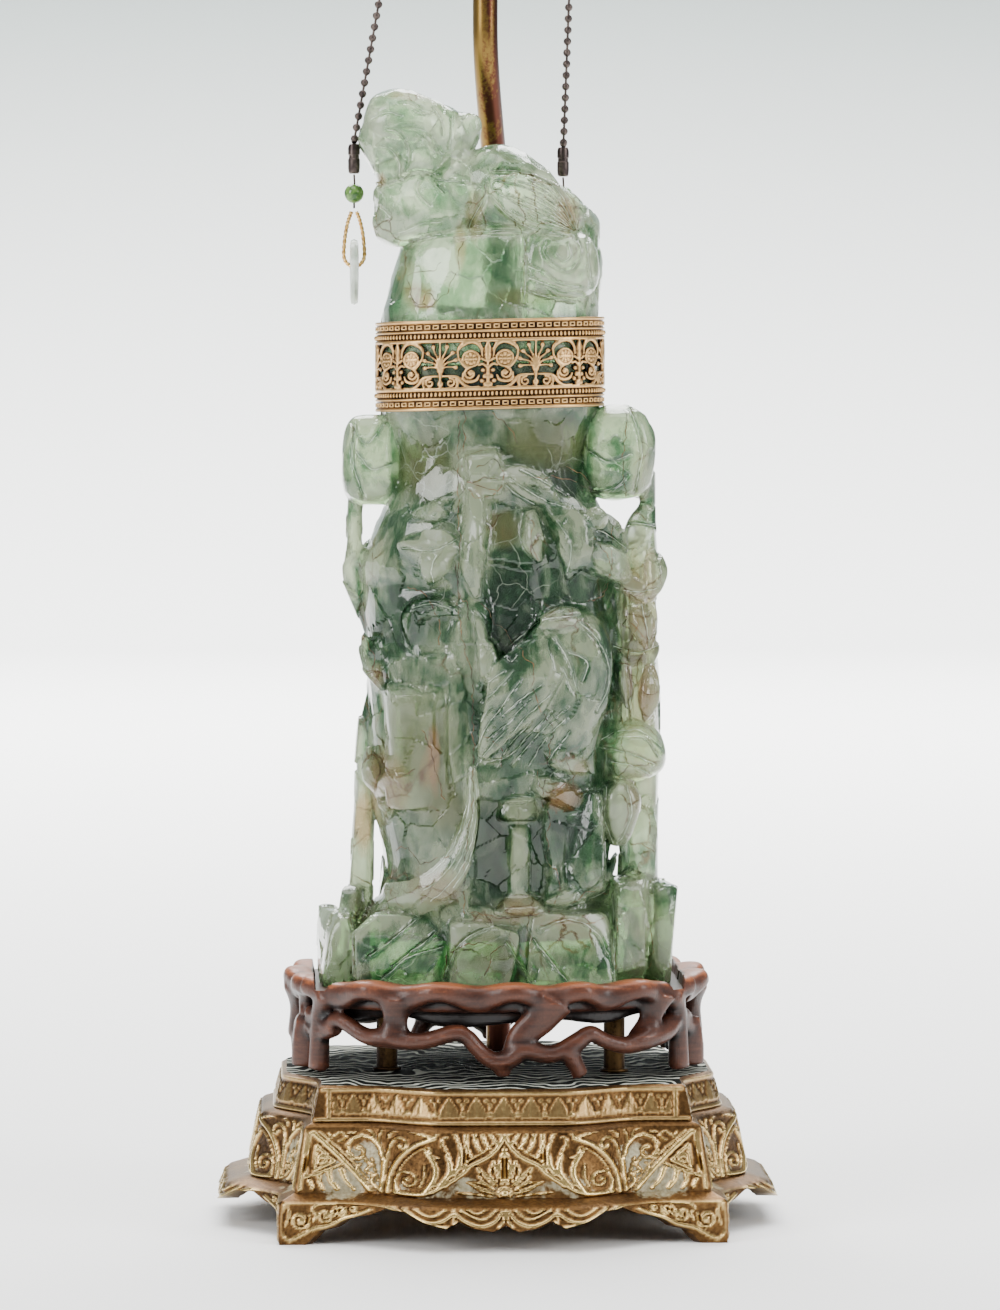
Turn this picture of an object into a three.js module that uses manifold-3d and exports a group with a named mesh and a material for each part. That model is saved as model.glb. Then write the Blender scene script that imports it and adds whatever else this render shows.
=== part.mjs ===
// Table lamp made from a carved fluorite vase: cast brass base, fretted hardwood stand, hollow vase
// carved with birds, leaves and rocks, pierced brass gallery, fluorite lid with a resting bird, and a
// bent brass pipe behind the vase that carries two pull-chain sockets and a shade riser.
// Millimetres, +Z up. The origin is the centre of the base on the table, and -Y is the front.

import * as THREE from 'three';
import { mergeVertices } from 'three/addons/utils/BufferGeometryUtils.js';
import { ConvexGeometry } from 'three/addons/geometries/ConvexGeometry.js';
import Module from 'manifold-3d';

const wasm = await Module();
wasm.setup();

const GAP = 0.3; // air left between two pieces that touch
const TURN = Math.PI * 2;
const UP = new THREE.Vector3(0, 0, 1);

// Materials

const castBrass = new THREE.MeshStandardMaterial({ color: 0x9a7436, roughness: 0.42, metalness: 0.95 });
const rosewood = new THREE.MeshStandardMaterial({ color: 0x5e3226, roughness: 0.45, metalness: 0 });
const fluorite = new THREE.MeshStandardMaterial({ color: 0x7fa58a, roughness: 0.15, metalness: 0 });
const giltBrass = new THREE.MeshStandardMaterial({ color: 0xb08a58, roughness: 0.35, metalness: 0.95 });
const pipeBrass = new THREE.MeshStandardMaterial({ color: 0x8f6f34, roughness: 0.3, metalness: 1 });
const chainMetal = new THREE.MeshStandardMaterial({ color: 0x4b4440, roughness: 0.4, metalness: 0.9 });
const greenJade = new THREE.MeshStandardMaterial({ color: 0x5d7f45, roughness: 0.2, metalness: 0 });
const whiteJade = new THREE.MeshStandardMaterial({ color: 0xc9d2c4, roughness: 0.25, metalness: 0 });
const goldWire = new THREE.MeshStandardMaterial({ color: 0xb98c46, roughness: 0.3, metalness: 1 });
const porcelain = new THREE.MeshStandardMaterial({ color: 0xd8d2c4, roughness: 0.4, metalness: 0 });

// Joining, cutting and placing closed geometries

function solid(geometry) {
  const bare = geometry.clone();
  for (const name of Object.keys(bare.attributes)) {
    if (name !== 'position') bare.deleteAttribute(name);
  }
  const merged = mergeVertices(bare, 1e-4);
  const corners = merged.index.array;
  const kept = [];
  for (let i = 0; i < corners.length; i += 3) {
    const [a, b, c] = [corners[i], corners[i + 1], corners[i + 2]];
    if (a !== b && b !== c && c !== a) kept.push(a, b, c);
  }
  return new wasm.Manifold(new wasm.Mesh({
    numProp: 3,
    vertProperties: Float32Array.from(merged.attributes.position.array),
    triVerts: Uint32Array.from(kept),
  }));
}

// Joins the first list and takes the second list away from it.
function carve(joined, removed = []) {
  let body = joined.map(solid).reduce((whole, part) => whole.add(part));
  for (const geometry of removed) body = body.subtract(solid(geometry));
  const shape = body.getMesh();
  const geometry = new THREE.BufferGeometry();
  geometry.setAttribute('position', new THREE.BufferAttribute(shape.vertProperties, 3));
  geometry.setIndex(new THREE.BufferAttribute(shape.triVerts, 1));
  return geometry;
}

function turned(geometry, degrees, axis = 'Z') {
  return geometry.clone()[`rotate${axis}`](THREE.MathUtils.degToRad(degrees));
}

function placed(geometry, x, y, z) {
  return geometry.clone().translate(x, y, z);
}

function piece(name, geometry, material) {
  const shape = carve([geometry]);
  shape.computeVertexNormals();
  const mesh = new THREE.Mesh(shape, material);
  mesh.name = name;
  return mesh;
}

// A closed skin from rings of equal length. Open ends get a fan; looped rings join back to the first.
function skin(rings, looped = false) {
  const across = rings[0].length;
  const points = rings.flat();
  const faces = [];
  const bands = looped ? rings.length : rings.length - 1;
  for (let r = 0; r < bands; r += 1) {
    const next = (r + 1) % rings.length;
    for (let i = 0; i < across; i += 1) {
      const j = (i + 1) % across;
      const [a, b] = [r * across + i, r * across + j];
      const [c, d] = [next * across + j, next * across + i];
      faces.push(a, b, c, a, c, d);
    }
  }
  if (!looped) {
    for (const [r, flip] of [[0, true], [rings.length - 1, false]]) {
      const start = r * across;
      if (across === 3) {
        faces.push(...(flip ? [start + 1, start, start + 2] : [start, start + 1, start + 2]));
        continue;
      }
      const middle = rings[r].reduce((sum, p) => sum.add(p), new THREE.Vector3());
      const hub = points.push(middle.divideScalar(across)) - 1;
      for (let i = 0; i < across; i += 1) {
        const [a, b] = [start + i, start + (i + 1) % across];
        faces.push(...(flip ? [b, a, hub] : [a, b, hub]));
      }
    }
  }
  let volume = 0;
  for (let i = 0; i < faces.length; i += 3) {
    const [a, b, c] = [points[faces[i]], points[faces[i + 1]], points[faces[i + 2]]];
    volume += a.dot(new THREE.Vector3().crossVectors(b, c));
  }
  if (volume < 0) faces.reverse();
  const geometry = new THREE.BufferGeometry();
  const numbers = points.flatMap((p) => [p.x, p.y, p.z]);
  geometry.setAttribute('position', new THREE.Float32BufferAttribute(numbers, 3));
  geometry.setIndex(faces);
  return geometry;
}

// Shapes that the carving and the metalwork are made of

// Point of a rounded-rectangle oval at a turn of the circle, in the plane.
function ovalPoint(angle, halfWidth, halfDepth, squareness) {
  const power = 2 / squareness;
  const [c, s] = [Math.cos(angle), Math.sin(angle)];
  return [
    halfWidth * Math.sign(c) * Math.abs(c) ** power,
    halfDepth * Math.sign(s) * Math.abs(s) ** power,
  ];
}

function ovalRing(count, halfWidth, halfDepth, squareness, z, shift = 0, rise = 0) {
  return Array.from({ length: count }, (_, i) => {
    const [x, y] = ovalPoint((i / count) * TURN, halfWidth, halfDepth, squareness);
    return new THREE.Vector3(x + shift, y, z + x * rise);
  });
}

// A round limb of changing thickness along a smooth curve.
function limb(path, radii, sides = 6, steps = radii.length - 1) {
  const curve = new THREE.CatmullRomCurve3(path);
  const frames = curve.computeFrenetFrames(steps);
  const rings = [];
  for (let i = 0; i <= steps; i += 1) {
    const middle = curve.getPointAt(i / steps);
    const place = (i / steps) * (radii.length - 1);
    const before = Math.min(Math.floor(place), radii.length - 2);
    const radius = THREE.MathUtils.lerp(radii[before], radii[before + 1], place - before);
    rings.push(Array.from({ length: sides }, (_, k) => {
      const a = (k / sides) * TURN;
      return middle.clone()
        .addScaledVector(frames.normals[i], radius * Math.cos(a))
        .addScaledVector(frames.binormals[i], radius * Math.sin(a));
    }));
  }
  return skin(rings);
}

// A leaf, petal or feather: a ridge carried along a curve that falls to both edges, with the edges
// sunk into what it grows from.
function blade(path, widths, thick, facing, root) {
  const curve = new THREE.CatmullRomCurve3(path);
  const steps = widths.length - 1;
  const widest = Math.max(...widths);
  const rings = widths.map((width, i) => {
    const middle = curve.getPoint(i / steps);
    const along = curve.getTangent(i / steps);
    const side = new THREE.Vector3().crossVectors(along, facing).normalize();
    const ridge = thick * (0.35 + 0.65 * (width / widest));
    return [[-width, -root], [0, ridge], [width, -root]].map(([s, o]) => middle.clone()
      .addScaledVector(side, s)
      .addScaledVector(facing, o));
  });
  return skin(rings);
}

function lump(centre, radii, turn = 0, around = 8, tall = 6) {
  const geometry = new THREE.SphereGeometry(1, around, tall);
  geometry.rotateX(Math.PI / 2);
  geometry.scale(...radii);
  geometry.rotateY(turn);
  geometry.translate(...centre);
  return geometry;
}

// A cut block with chamfered corners, drawn in towards its top and turned about the vertical.
function rock(centre, size, { taper = 0.85, chamfer = 0.2, turn = 0, slope = 0 } = {}) {
  const corners = [];
  for (const sx of [-1, 1]) {
    for (const sy of [-1, 1]) {
      for (const sz of [-1, 1]) {
        const draw = sz > 0 ? taper : 1;
        for (const [cx, cy] of [[1 - chamfer, 1], [1, 1 - chamfer]]) {
          corners.push(new THREE.Vector3(
            sx * cx * draw * size[0] / 2,
            sy * cy * draw * size[1] / 2,
            sz * size[2] / 2 + (sz > 0 ? sx * slope : 0),
          ));
        }
      }
    }
  }
  const geometry = new ConvexGeometry(corners);
  geometry.rotateZ(turn);
  geometry.translate(...centre);
  return geometry;
}

// A profile of [radius, height] points turned about the vertical. It starts and ends on the axis or
// closes on itself, and runs anticlockwise.
function lathe(profile, sides) {
  const outline = profile.map(([radius, z]) => new THREE.Vector2(radius, z));
  const geometry = new THREE.LatheGeometry(outline, sides);
  geometry.rotateX(Math.PI / 2);
  return geometry;
}

// A flat shape of points [across, up] pushed through the piece from near to far.
function slab(outline, near, far) {
  const shape = new THREE.Shape(outline.map(([x, z]) => new THREE.Vector2(x, z)));
  const geometry = new THREE.ExtrudeGeometry(shape, { depth: far - near, bevelEnabled: false });
  geometry.rotateX(Math.PI / 2);
  geometry.translate(0, far, 0);
  return geometry;
}

function drum(radius, bottom, top, x, y, sides = 12) {
  const geometry = new THREE.CylinderGeometry(radius, radius, top - bottom, sides);
  geometry.rotateX(Math.PI / 2);
  geometry.translate(x, y, (bottom + top) / 2);
  return geometry;
}

function readProfile(rows, z, column) {
  const last = rows.length - 1;
  if (z <= rows[0][0]) return rows[0][column];
  if (z >= rows[last][0]) return rows[last][column];
  const next = rows.findIndex((row) => row[0] >= z);
  const [low, high] = [rows[next - 1], rows[next]];
  return THREE.MathUtils.mapLinear(z, low[0], high[0], low[column], high[column]);
}

// Cast brass base: a bombe square with a break-front on each side, open below, on four corner feet

const baseHeight = 60;
const baseWall = 3;
const skirtTop = 17;
const panelFoot = 19.5;
const panelTop = 44;
const tierFoot = 46;
// Each row: height, half width at the corner, how far the middle of a side stands out.
const baseLevels = [
  [0, 87, 20],
  [9, 87, 24],
  [skirtTop, 86, 21],
  [panelFoot, 81, 18],
  [panelTop, 77, 17],
  [tierFoot, 74, 15],
  [baseHeight, 71, 14],
];
// The hollow inside, a wall's thickness within: height, half width at the corner, bulge.
const hollowLevels = [
  [-baseWall, 84, 20],
  [skirtTop - baseWall - 2, 83, 20],
  [skirtTop - 0.5, 78, 17.5],
  [panelTop - baseWall, 74, 16],
  [baseHeight - baseWall, 68, 14],
];
// Places along a side, as shares of its half length: the middle stands fully out up to the first, and
// the rest lead back to the corner's line.
const frontFlat = 0.3;
const frontBlend = 0.45;
const sideShares = [-1, -0.75, -0.6, -0.45, -0.3, 0.3, 0.45, 0.6, 0.75];

function standOut(share) {
  const t = THREE.MathUtils.clamp((Math.abs(share) - frontFlat) / frontBlend, 0, 1);
  return 0.5 + 0.5 * Math.cos(Math.PI * t);
}

function baseRing(z, corner, bulge) {
  return [0, 1, 2, 3].flatMap((side) => sideShares.map((share) => {
    const point = new THREE.Vector3(share * corner, -(corner + bulge * standOut(share)), z);
    return point.applyAxisAngle(UP, (side * TURN) / 4);
  }));
}

// Point on the front side of the base: across, height, and how far it lifts off the face.
function onPanel(x, z, lift) {
  const corner = readProfile(baseLevels, z, 1);
  const bulge = readProfile(baseLevels, z, 2);
  return new THREE.Vector3(x, -(corner + bulge * standOut(x / corner)) - lift, z);
}

// Half of the skirt's lower edge, from the middle scallops to the foot: across, height.
const skirtEdge = [
  [0, 10.5], [5, 8], [13, 9.5], [18, 12], [23, 9.5], [31, 11.5], [38, 15], [46, 15.4],
  [52, 12.4], [61, 10.2], [66, 6.6], [72, 5.2], [75.5, 1.2], [76, -2],
];

const reliefRise = 1.3;
const reliefRoot = 0.8;
const ribWidth = 1.8;
// The gable that rises from the foot of a panel to its middle, then the arch beside it: across, height.
const gable = [[38, 22], [17, 28], [0.5, 43]];
const arch = [[44.5, 22], [40, 36], [27, 42.5]];
const brace = [[71, 41], [54, 22.5]];
const palmetteFoot = 22;
const palmetteLeaves = [[0, 17], [48, 12]]; // tilt in degrees, length
const front = new THREE.Vector3(0, -1, 0);

function panelRib(points) {
  const path = points.map(([x, z]) => onPanel(x, z, 0));
  return blade(path, points.map(() => ribWidth), reliefRise, front, reliefRoot);
}

function panelRelief() {
  const parts = [];
  for (const hand of [-1, 1]) {
    const mirrored = (points) => points.map(([x, z]) => [x * hand, z]);
    parts.push(panelRib(mirrored(gable)), panelRib(mirrored(arch)), panelRib(mirrored(brace)));
    for (const [tilt, length] of palmetteLeaves) {
      if (tilt === 0 && hand < 0) continue;
      const a = THREE.MathUtils.degToRad(tilt) * hand;
      const reach = (share) => onPanel(
        length * share * Math.sin(a),
        palmetteFoot + length * share * Math.cos(a),
        0,
      );
      parts.push(blade([reach(0), reach(0.5), reach(1)], [0.8, 2.4, 0.3], reliefRise, front, reliefRoot));
    }
  }
  return carve(parts);
}

const cordHole = { radius: 4, z: 31 };
const postPlaces = [[-44, -19], [46, -29]];
const postRadius = 4.2;
const stemRadius = 5;
const stemFoot = new THREE.Vector2(2.9, 52);

function castBase() {
  const outer = skin(baseLevels.map(([z, corner, bulge]) => baseRing(z, corner, bulge)));
  const inner = skin(hollowLevels.map(([z, corner, bulge]) => baseRing(z, corner, bulge)));
  const mirroredEdge = skirtEdge.slice(1).map(([x, z]) => [-x, z]).reverse();
  const reach = baseLevels[1][1] + baseLevels[1][2] + 10;
  const opening = slab([...mirroredEdge, ...skirtEdge], -reach, reach);
  const relief = panelRelief();
  const wallHole = turned(drum(cordHole.radius, -8, 8, 0, 0), 90, 'X');
  const backFace = -onPanel(0, cordHole.z, 0).y;
  return carve([outer, ...[0, 90, 180, 270].map((angle) => turned(relief, angle))], [
    inner,
    opening,
    turned(opening, 90),
    placed(wallHole, 0, backFace, cordHole.z),
    drum(stemRadius + GAP, baseHeight - baseWall - 2, baseHeight + 2, ...stemFoot),
  ]);
}

// Cord bushing in the back of the base, where the flex of the real lamp passes out

function cordBushing() {
  const flange = cordHole.radius + 1.8;
  const neck = cordHole.radius - GAP;
  const bore = cordHole.radius - 1.3;
  const profile = [
    [bore, -baseWall - 3], [neck, -baseWall - 3], [neck, reliefRise + 1.2], [flange, reliefRise + 1.2],
    [flange - 0.6, reliefRise + 3], [bore, reliefRise + 3], [bore, -baseWall - 3],
  ];
  const backFace = -onPanel(0, cordHole.z, 0).y;
  return placed(turned(lathe(profile, 12), -90, 'X'), 0, backFace, cordHole.z);
}

// Fretted hardwood stand: an oval board on a carved apron of cloud windows, a root rail and feet

const standFoot = baseHeight + GAP;
const standTop = 98;
const standHalf = [83, 71];
const standSquareness = 2.5;
const apronWall = 8;
const boardUnder = 87;
const recessFloor = 94.5;
const recessHalf = [74, 48];
const lobeCount = 12;
const lobeDepth = 1.6;

function standRing(inset, z) {
  const count = lobeCount * 3;
  return ovalRing(count, standHalf[0] - inset, standHalf[1] - inset, standSquareness, z)
    .map((p, i) => {
      const lobe = 1 - (lobeDepth / standHalf[0]) * (1 - Math.cos((i / count) * TURN * lobeCount)) / 2;
      return new THREE.Vector3(p.x * lobe, p.y * lobe, p.z);
    });
}

// Windows and the gaps under the rail on the long sides, as seen from the front: across, height.
const cloudWindows = [
  [[-72, 82], [-66, 89], [-57, 92], [-50, 91], [-47, 86], [-50, 79], [-60, 82], [-67, 79]],
  [[-37, 86], [-32, 92], [-22, 91], [-14, 88], [-6, 92], [5, 92], [8, 86], [4, 78], [0, 72], [-6, 74],
    [-14, 80], [-28, 78]],
  [[15, 80], [22, 87], [29, 92], [38, 89], [46, 91], [54, 89], [56, 83], [51, 78], [36, 79],
    [28, 75], [20, 76]],
  [[65, 83], [69, 91], [75, 90], [76, 82], [71, 77], [66, 78]],
];
const railGaps = [
  [[-66, 58], [-66, 71], [-56, 73], [-46, 72], [-34, 72.5], [-22, 71.5], [-14, 67], [-5, 64.5], [-4, 58]],
  [[5, 58], [6.5, 63.5], [12, 66.5], [18, 66.5], [23, 63.5], [25.5, 58]],
  [[33.5, 58], [34, 68], [38, 72], [45, 71], [52, 70], [60, 72.5], [67, 72], [69, 58]],
];
// The same for the short ends, as seen from an end.
const endCuts = [
  [[-30, 82], [-22, 90], [-10, 90], [-5, 84], [-12, 77], [-26, 78]],
  [[5, 84], [10, 90], [22, 90], [30, 82], [26, 78], [12, 77]],
  [[-26, 58], [-22, 70], [0, 72], [22, 70], [26, 58]],
];

function fretStand() {
  const outer = skin([
    standRing(3, standFoot),
    standRing(2.5, 86),
    standRing(0, 90),
    standRing(0, standTop - 3),
    standRing(3, standTop),
  ]);
  const underHalf = standHalf.map((half) => half - apronWall - 3);
  const under = skin([standFoot - 2, boardUnder].map((z) => ovalRing(24, ...underHalf, standSquareness, z)));
  const recess = skin([recessFloor, standTop + 2].map((z) => ovalRing(24, ...recessHalf, 5, z)));
  const [reach, near] = [-standHalf[0] - 20, -33];
  const sideCutters = [...cloudWindows, ...railGaps].map((outline) => slab(outline, reach, near));
  const endCutters = endCuts.map((outline) => slab(outline, reach, near));
  return carve([outer], [
    under,
    recess,
    ...sideCutters,
    ...sideCutters.map((cutter) => turned(cutter, 180)),
    ...endCutters.map((cutter) => turned(cutter, 90)),
    ...endCutters.map((cutter) => turned(cutter, 270)),
    drum(stemRadius + GAP, boardUnder - 5, standTop + 5, ...stemFoot),
  ]);
}

// Hollow fluorite vase

const vaseFoot = recessFloor + GAP;
const vaseWall = 8;
const mouth = 341;
const neckShift = -2.4;
const lean = Math.tan(THREE.MathUtils.degToRad(1.5)); // the mouth, gallery and lid tip up to the right
const leanFrom = 285;
const leanTo = 306;
const neckHalf = [43, 32.3];
const squareness = 2.6;
const ringCount = 20;
const footLap = 2; // cut off level with the foot
// Each row: height, half width, half depth, shift to the side. The carving is drawn at the heights of
// these rows, and all of it is stretched to the vase's own height.
const vaseProfile = [
  [92.8, 58, 37, 0],
  [120, 57, 38, 0],
  [127, 47, 37, 0],
  [146, 45, 37.5, 0],
  [166, 49, 38.5, 0],
  [200, 51, 39, 0],
  [268, 52, 38, -1],
  [281, 46, 35.5, -1.6],
  [294, 38.5, 32, -2],
  [306, 37, 31, neckShift],
  [320, neckHalf[0] - 1, neckHalf[1] - 1, neckShift],
  [323, ...neckHalf, neckShift],
  [341, ...neckHalf, neckShift],
];

function leanAt(z) {
  return lean * THREE.MathUtils.smoothstep(z, leanFrom, leanTo);
}

function stretched(geometry) {
  const [foot, top] = [vaseProfile[0][0] + footLap, vaseProfile.at(-1)[0]];
  return geometry.translate(0, 0, -foot).scale(1, 1, (mouth - vaseFoot) / (top - foot)).translate(0, 0, vaseFoot);
}

function vaseRing(z, inset) {
  return ovalRing(
    ringCount,
    readProfile(vaseProfile, z, 1) - inset,
    readProfile(vaseProfile, z, 2) - inset,
    squareness,
    z,
    readProfile(vaseProfile, z, 3),
    leanAt(z),
  );
}

// Point on the vase's front or back face: across, height, and how far it lifts off the face.
function onVase(x, z, lift, facing = front) {
  const halfWidth = readProfile(vaseProfile, z, 1);
  const halfDepth = readProfile(vaseProfile, z, 2);
  const share = Math.min(Math.abs(x - readProfile(vaseProfile, z, 3)) / halfWidth, 0.96);
  const depth = halfDepth * (1 - share ** squareness) ** (1 / squareness);
  return new THREE.Vector3(x, facing.y * (depth + lift), z);
}

// Leaves on a face: points of [across, height, lift], half widths, thickness.
const frontBlades = [
  // three lobes of the leaf at the upper left
  [[[-14, 273, 1], [-30, 274, 3], [-47, 269, 1]], [2, 8, 1], 3],
  [[[-14, 274, 1], [-23, 264, 4], [-29, 252, 1]], [2, 8, 1], 3],
  [[[-12, 290, 1], [-24, 282, 2], [-38, 281, 1]], [1, 6, 1], 2.5],
  // leaves of the branch at the upper right
  [[[-2, 297, 1], [12, 292, 4], [30, 281, 3]], [1, 6, 1], 3],
  [[[4, 290, 2], [12, 279, 4], [20, 271, 2]], [2, 8, 1], 3],
  [[[20, 282, 2], [33, 268, 4], [30, 246, 2]], [2, 9, 1], 3],
  // small leaves at the left edge and beside the wing
  [[[-43, 210, 4], [-50, 221, 6], [-54, 233, 2]], [1, 4.5, 1], 2.6],
  [[[20, 186, 3], [28, 182, 5], [37, 179, 3]], [2, 4.5, 1], 3],
  // the leaf over the left opening, three lobes
  [[[-47, 166, 4], [-50, 178, 7], [-51, 190, 3]], [2, 5, 1], 3],
  [[[-47, 168, 4], [-41, 175, 7], [-32, 174, 3]], [3, 8, 1], 3],
  [[[-50, 172, 4], [-45, 166, 7], [-40, 160, 4]], [2, 5, 1], 3],
  // long tail plume that sweeps down to the left
  [[[-11, 183, 2], [-11, 160, 4], [-26, 135, 6], [-46, 128, 4]], [1, 4, 8, 4], 3.5],
];
const backBlades = [
  [[[40, 262, 2], [28, 270, 3], [14, 268, 1]], [1, 8, 1], 3],
  [[[-14, 232, 1], [-27, 222, 3], [-40, 226, 1]], [1, 8, 1], 3],
  [[[-14, 210, 1], [-28, 200, 3], [-42, 186, 1]], [1, 8, 1], 3],
  [[[12, 150, 1], [24, 158, 3], [38, 172, 1]], [1, 8, 1], 3],
];
// Stems and branches: points of [across, height, lift], radii.
const frontLimbs = [
  [[[-10, 300, 0], [-9, 272, 2], [-6, 240, 2], [-7, 204, 1]], [2.5, 3.5, 3.5, 2]],
  [[[-4, 299, 1], [14, 292, 2], [41, 280, 2]], [2, 2.5, 2]],
];
const backLimbs = [
  [[[46, 272, 0], [30, 258, 2], [22, 230, 2], [24, 196, 1]], [2, 3, 3, 2]],
  [[[-18, 300, 0], [-22, 268, 2], [-20, 236, 2], [-26, 204, 1]], [2, 3, 3, 2]],
  [[[-44, 172, 0], [-30, 162, 2], [-22, 140, 2], [-26, 122, 1]], [2, 3, 4, 4]],
];
const back = new THREE.Vector3(0, 1, 0);

function carvedBlades(rows, facing) {
  return rows.map(([path, widths, thick]) => {
    const root = Math.max(...path.map((point) => point[2])) + 3;
    return blade(path.map(([x, z, lift]) => onVase(x, z, lift, facing)), widths, thick, facing, root);
  });
}

function carvedLimbs(rows, facing) {
  return rows.map(([path, radii]) => limb(
    path.map(([x, z, lift]) => onVase(x, z, lift, facing)), radii, 4,
  ));
}

// The large bird: round body, small head turned to the left and a wing of folded feathers
const bird = { x: 23, z: 213, half: [23, 11, 31], tilt: THREE.MathUtils.degToRad(14) };
const wingRoot = [20, 232];
const featherCount = 5;
const featherLength = 44;
const featherFan = [208, 262]; // direction of the first and last feather, in degrees

function largeBird() {
  const parts = [
    lump(onVase(bird.x, bird.z, -3).toArray(), bird.half, bird.tilt, 10, 6),
    lump(onVase(3, 227, 3).toArray(), [7, 6, 6.5], 0, 6, 5),
    limb([onVase(4, 229, 3), onVase(12, 243, 3), onVase(28, 243, 1)], [5, 6, 8], 5),
  ];
  for (let i = 0; i < featherCount; i += 1) {
    const share = i / (featherCount - 1);
    const a = THREE.MathUtils.degToRad(THREE.MathUtils.lerp(...featherFan, share));
    const point = (reach, lift) => onVase(
      wingRoot[0] + featherLength * reach * Math.cos(a),
      wingRoot[1] + featherLength * reach * Math.sin(a),
      lift,
    );
    parts.push(blade([point(0.2, 7), point(0.6, 6), point(1, 3)], [2.5, 4.6, 1], 3, front, 9));
  }
  return parts;
}

// Flower buds that stand out at the shoulders as handles, with branches running down from them
const buds = [
  [[-51, -2, 303], [20, 26, 34], { taper: 0.86, chamfer: 0.35, slope: -1 }],
  [[50, -2, 306], [27, 28, 36], { taper: 0.82, chamfer: 0.35, slope: 1 }],
];
const sideLimbs = [
  // left branch, then the left trunk below it
  [[[-56, 0, 292], [-57.5, 0, 280], [-57.5, 0, 262], [-52.5, 0, 233]], [5, 3.6, 5, 1]],
  [[[-50, 0, 216], [-53, 0, 196], [-54, 0, 165], [-54.5, 0, 118]], [3, 4, 5.5, 6]],
  // right branch that grows into the trunk
  [[[60, 0, 296], [59, 0, 282], [57, 0, 246], [58, 0, 196], [59, 0, 160], [58, 0, 122]],
    [5, 3.6, 9, 9, 8, 9]],
];

function sideCarving() {
  return [
    ...buds.map((row) => rock(...row)),
    ...sideLimbs.map(([path, radii]) => limb(path.map((p) => new THREE.Vector3(...p)), radii, 6)),
    // shell-shaped leaf at the lower right with a closed bud under it
    lump([51, -17, 181], [14, 14, 12], 0.2, 8, 5),
    lump([46.5, -24, 152], [7.5, 8.5, 14.5], 0.05, 6, 5),
  ];
}

// Rocks: centre, size and cut of each block
const rocks = [
  // pale broken crystal and the bar that hangs from it
  [[-7, -33, 299], [17, 12, 17], { taper: 0.75, chamfer: 0.4 }],
  [[-3.5, -35, 289], [20, 9, 5], { taper: 0.9 }],
  [[-9.5, -36, 281], [8.5, 9, 17], { taper: 1, chamfer: 0.3 }],
  // wedge at the right shoulder
  [[46, -20, 267], [18, 24, 14], { taper: 0.6, chamfer: 0.2, turn: -0.5 }],
  // blocks of the foot
  [[-64, -3, 107], [15, 56, 30], { taper: 0.93, chamfer: 0.12 }],
  [[-34, -31, 106.5], [52, 22, 29], { taper: 0.95, chamfer: 0.15 }],
  [[-7, -35, 105.5], [34, 18, 28.5], { taper: 0.8, chamfer: 0.3 }],
  [[26, -34, 106], [36, 20, 29.5], { taper: 0.8, chamfer: 0.35 }],
  [[57.5, -2, 113.5], [28, 60, 43], { taper: 0.92, chamfer: 0.16 }],
  [[-31, 31, 105], [64, 16, 28], { taper: 0.88, chamfer: 0.25 }],
  [[29, 32, 105.5], [63, 15, 29], { taper: 0.88, chamfer: 0.25 }],
  // ledges on the back
  [[44, 18, 232], [18, 26, 20], { taper: 0.7, chamfer: 0.3, turn: 0.4 }],
  [[-44, 16, 262], [16, 26, 18], { taper: 0.7, chamfer: 0.3, turn: -0.4 }],
];

// Sunk panel in the middle of the front with a short pillar in it
const niche = { x: [-11, 19], z: [126, 168], depth: 4.5 };
const pillar = { x: 7.5, radius: 4.6, capital: [13, 9, 7], foot: [17, 9, 5] };

function nicheCut() {
  const face = onVase(pillar.x, 147, 0).y;
  const width = niche.x[1] - niche.x[0];
  const height = niche.z[1] - niche.z[0];
  const middle = [(niche.x[0] + niche.x[1]) / 2, face - 20 + niche.depth, (niche.z[0] + niche.z[1]) / 2];
  return rock(middle, [width, 40, height], { taper: 0.94, chamfer: 0.04 });
}

function nichePillar() {
  const face = onVase(pillar.x, 147, 0).y;
  const [low, high] = niche.z;
  return [
    drum(pillar.radius, low - 2, high + 1, pillar.x, face + 2, 8),
    rock([pillar.x, face, high - 1], pillar.capital, { taper: 0.8 }),
    rock([pillar.x, face, low + 1], pillar.foot, { taper: 0.7 }),
  ];
}

function vase() {
  const outer = skin(vaseProfile.map(([z]) => vaseRing(z, 0)));
  const levels = [112, 146, 268, 300, 323, 345];
  const cavity = skin(levels.map((z) => vaseRing(z, vaseWall)));
  const carving = [
    ...nichePillar(),
    ...carvedBlades(frontBlades, front),
    ...carvedBlades(backBlades, back),
    ...carvedLimbs(frontLimbs, front),
    ...carvedLimbs(backLimbs, back),
    ...largeBird(),
    ...sideCarving(),
    ...rocks.map((row) => rock(...row)),
    lump([36, -31, 281], [4.8, 5.5, 4.8], 0, 6, 4),
  ];
  const body = carve([carve([outer], [nicheCut()]), ...carving]);
  const bed = slab([[-120, vaseFoot - 20], [120, vaseFoot - 20], [120, vaseFoot], [-120, vaseFoot]], -120, 120);
  return carve([stretched(body)], [stretched(cavity), bed]);
}

// Lid: a flanged cover carved with a bird lying on it, its head turned back. Its own frame has the
// rim of the vase at height 0 and is tipped with the mouth.

const tongueDepth = 9;
const tongueGap = 1;
// Each row: height over the rim, half width, half depth, shift to the side.
const lidProfile = [
  [GAP, ...neckHalf, 0],
  [19, ...neckHalf, 0],
  [24, 42.5, 31.5, 0.5],
  [46, 37.5, 27, 2.5],
  [56, 35, 24, 4],
  [66, 29, 19, 6],
  [76, 21, 12, 7],
  [83, 8, 5, 8],
];
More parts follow.
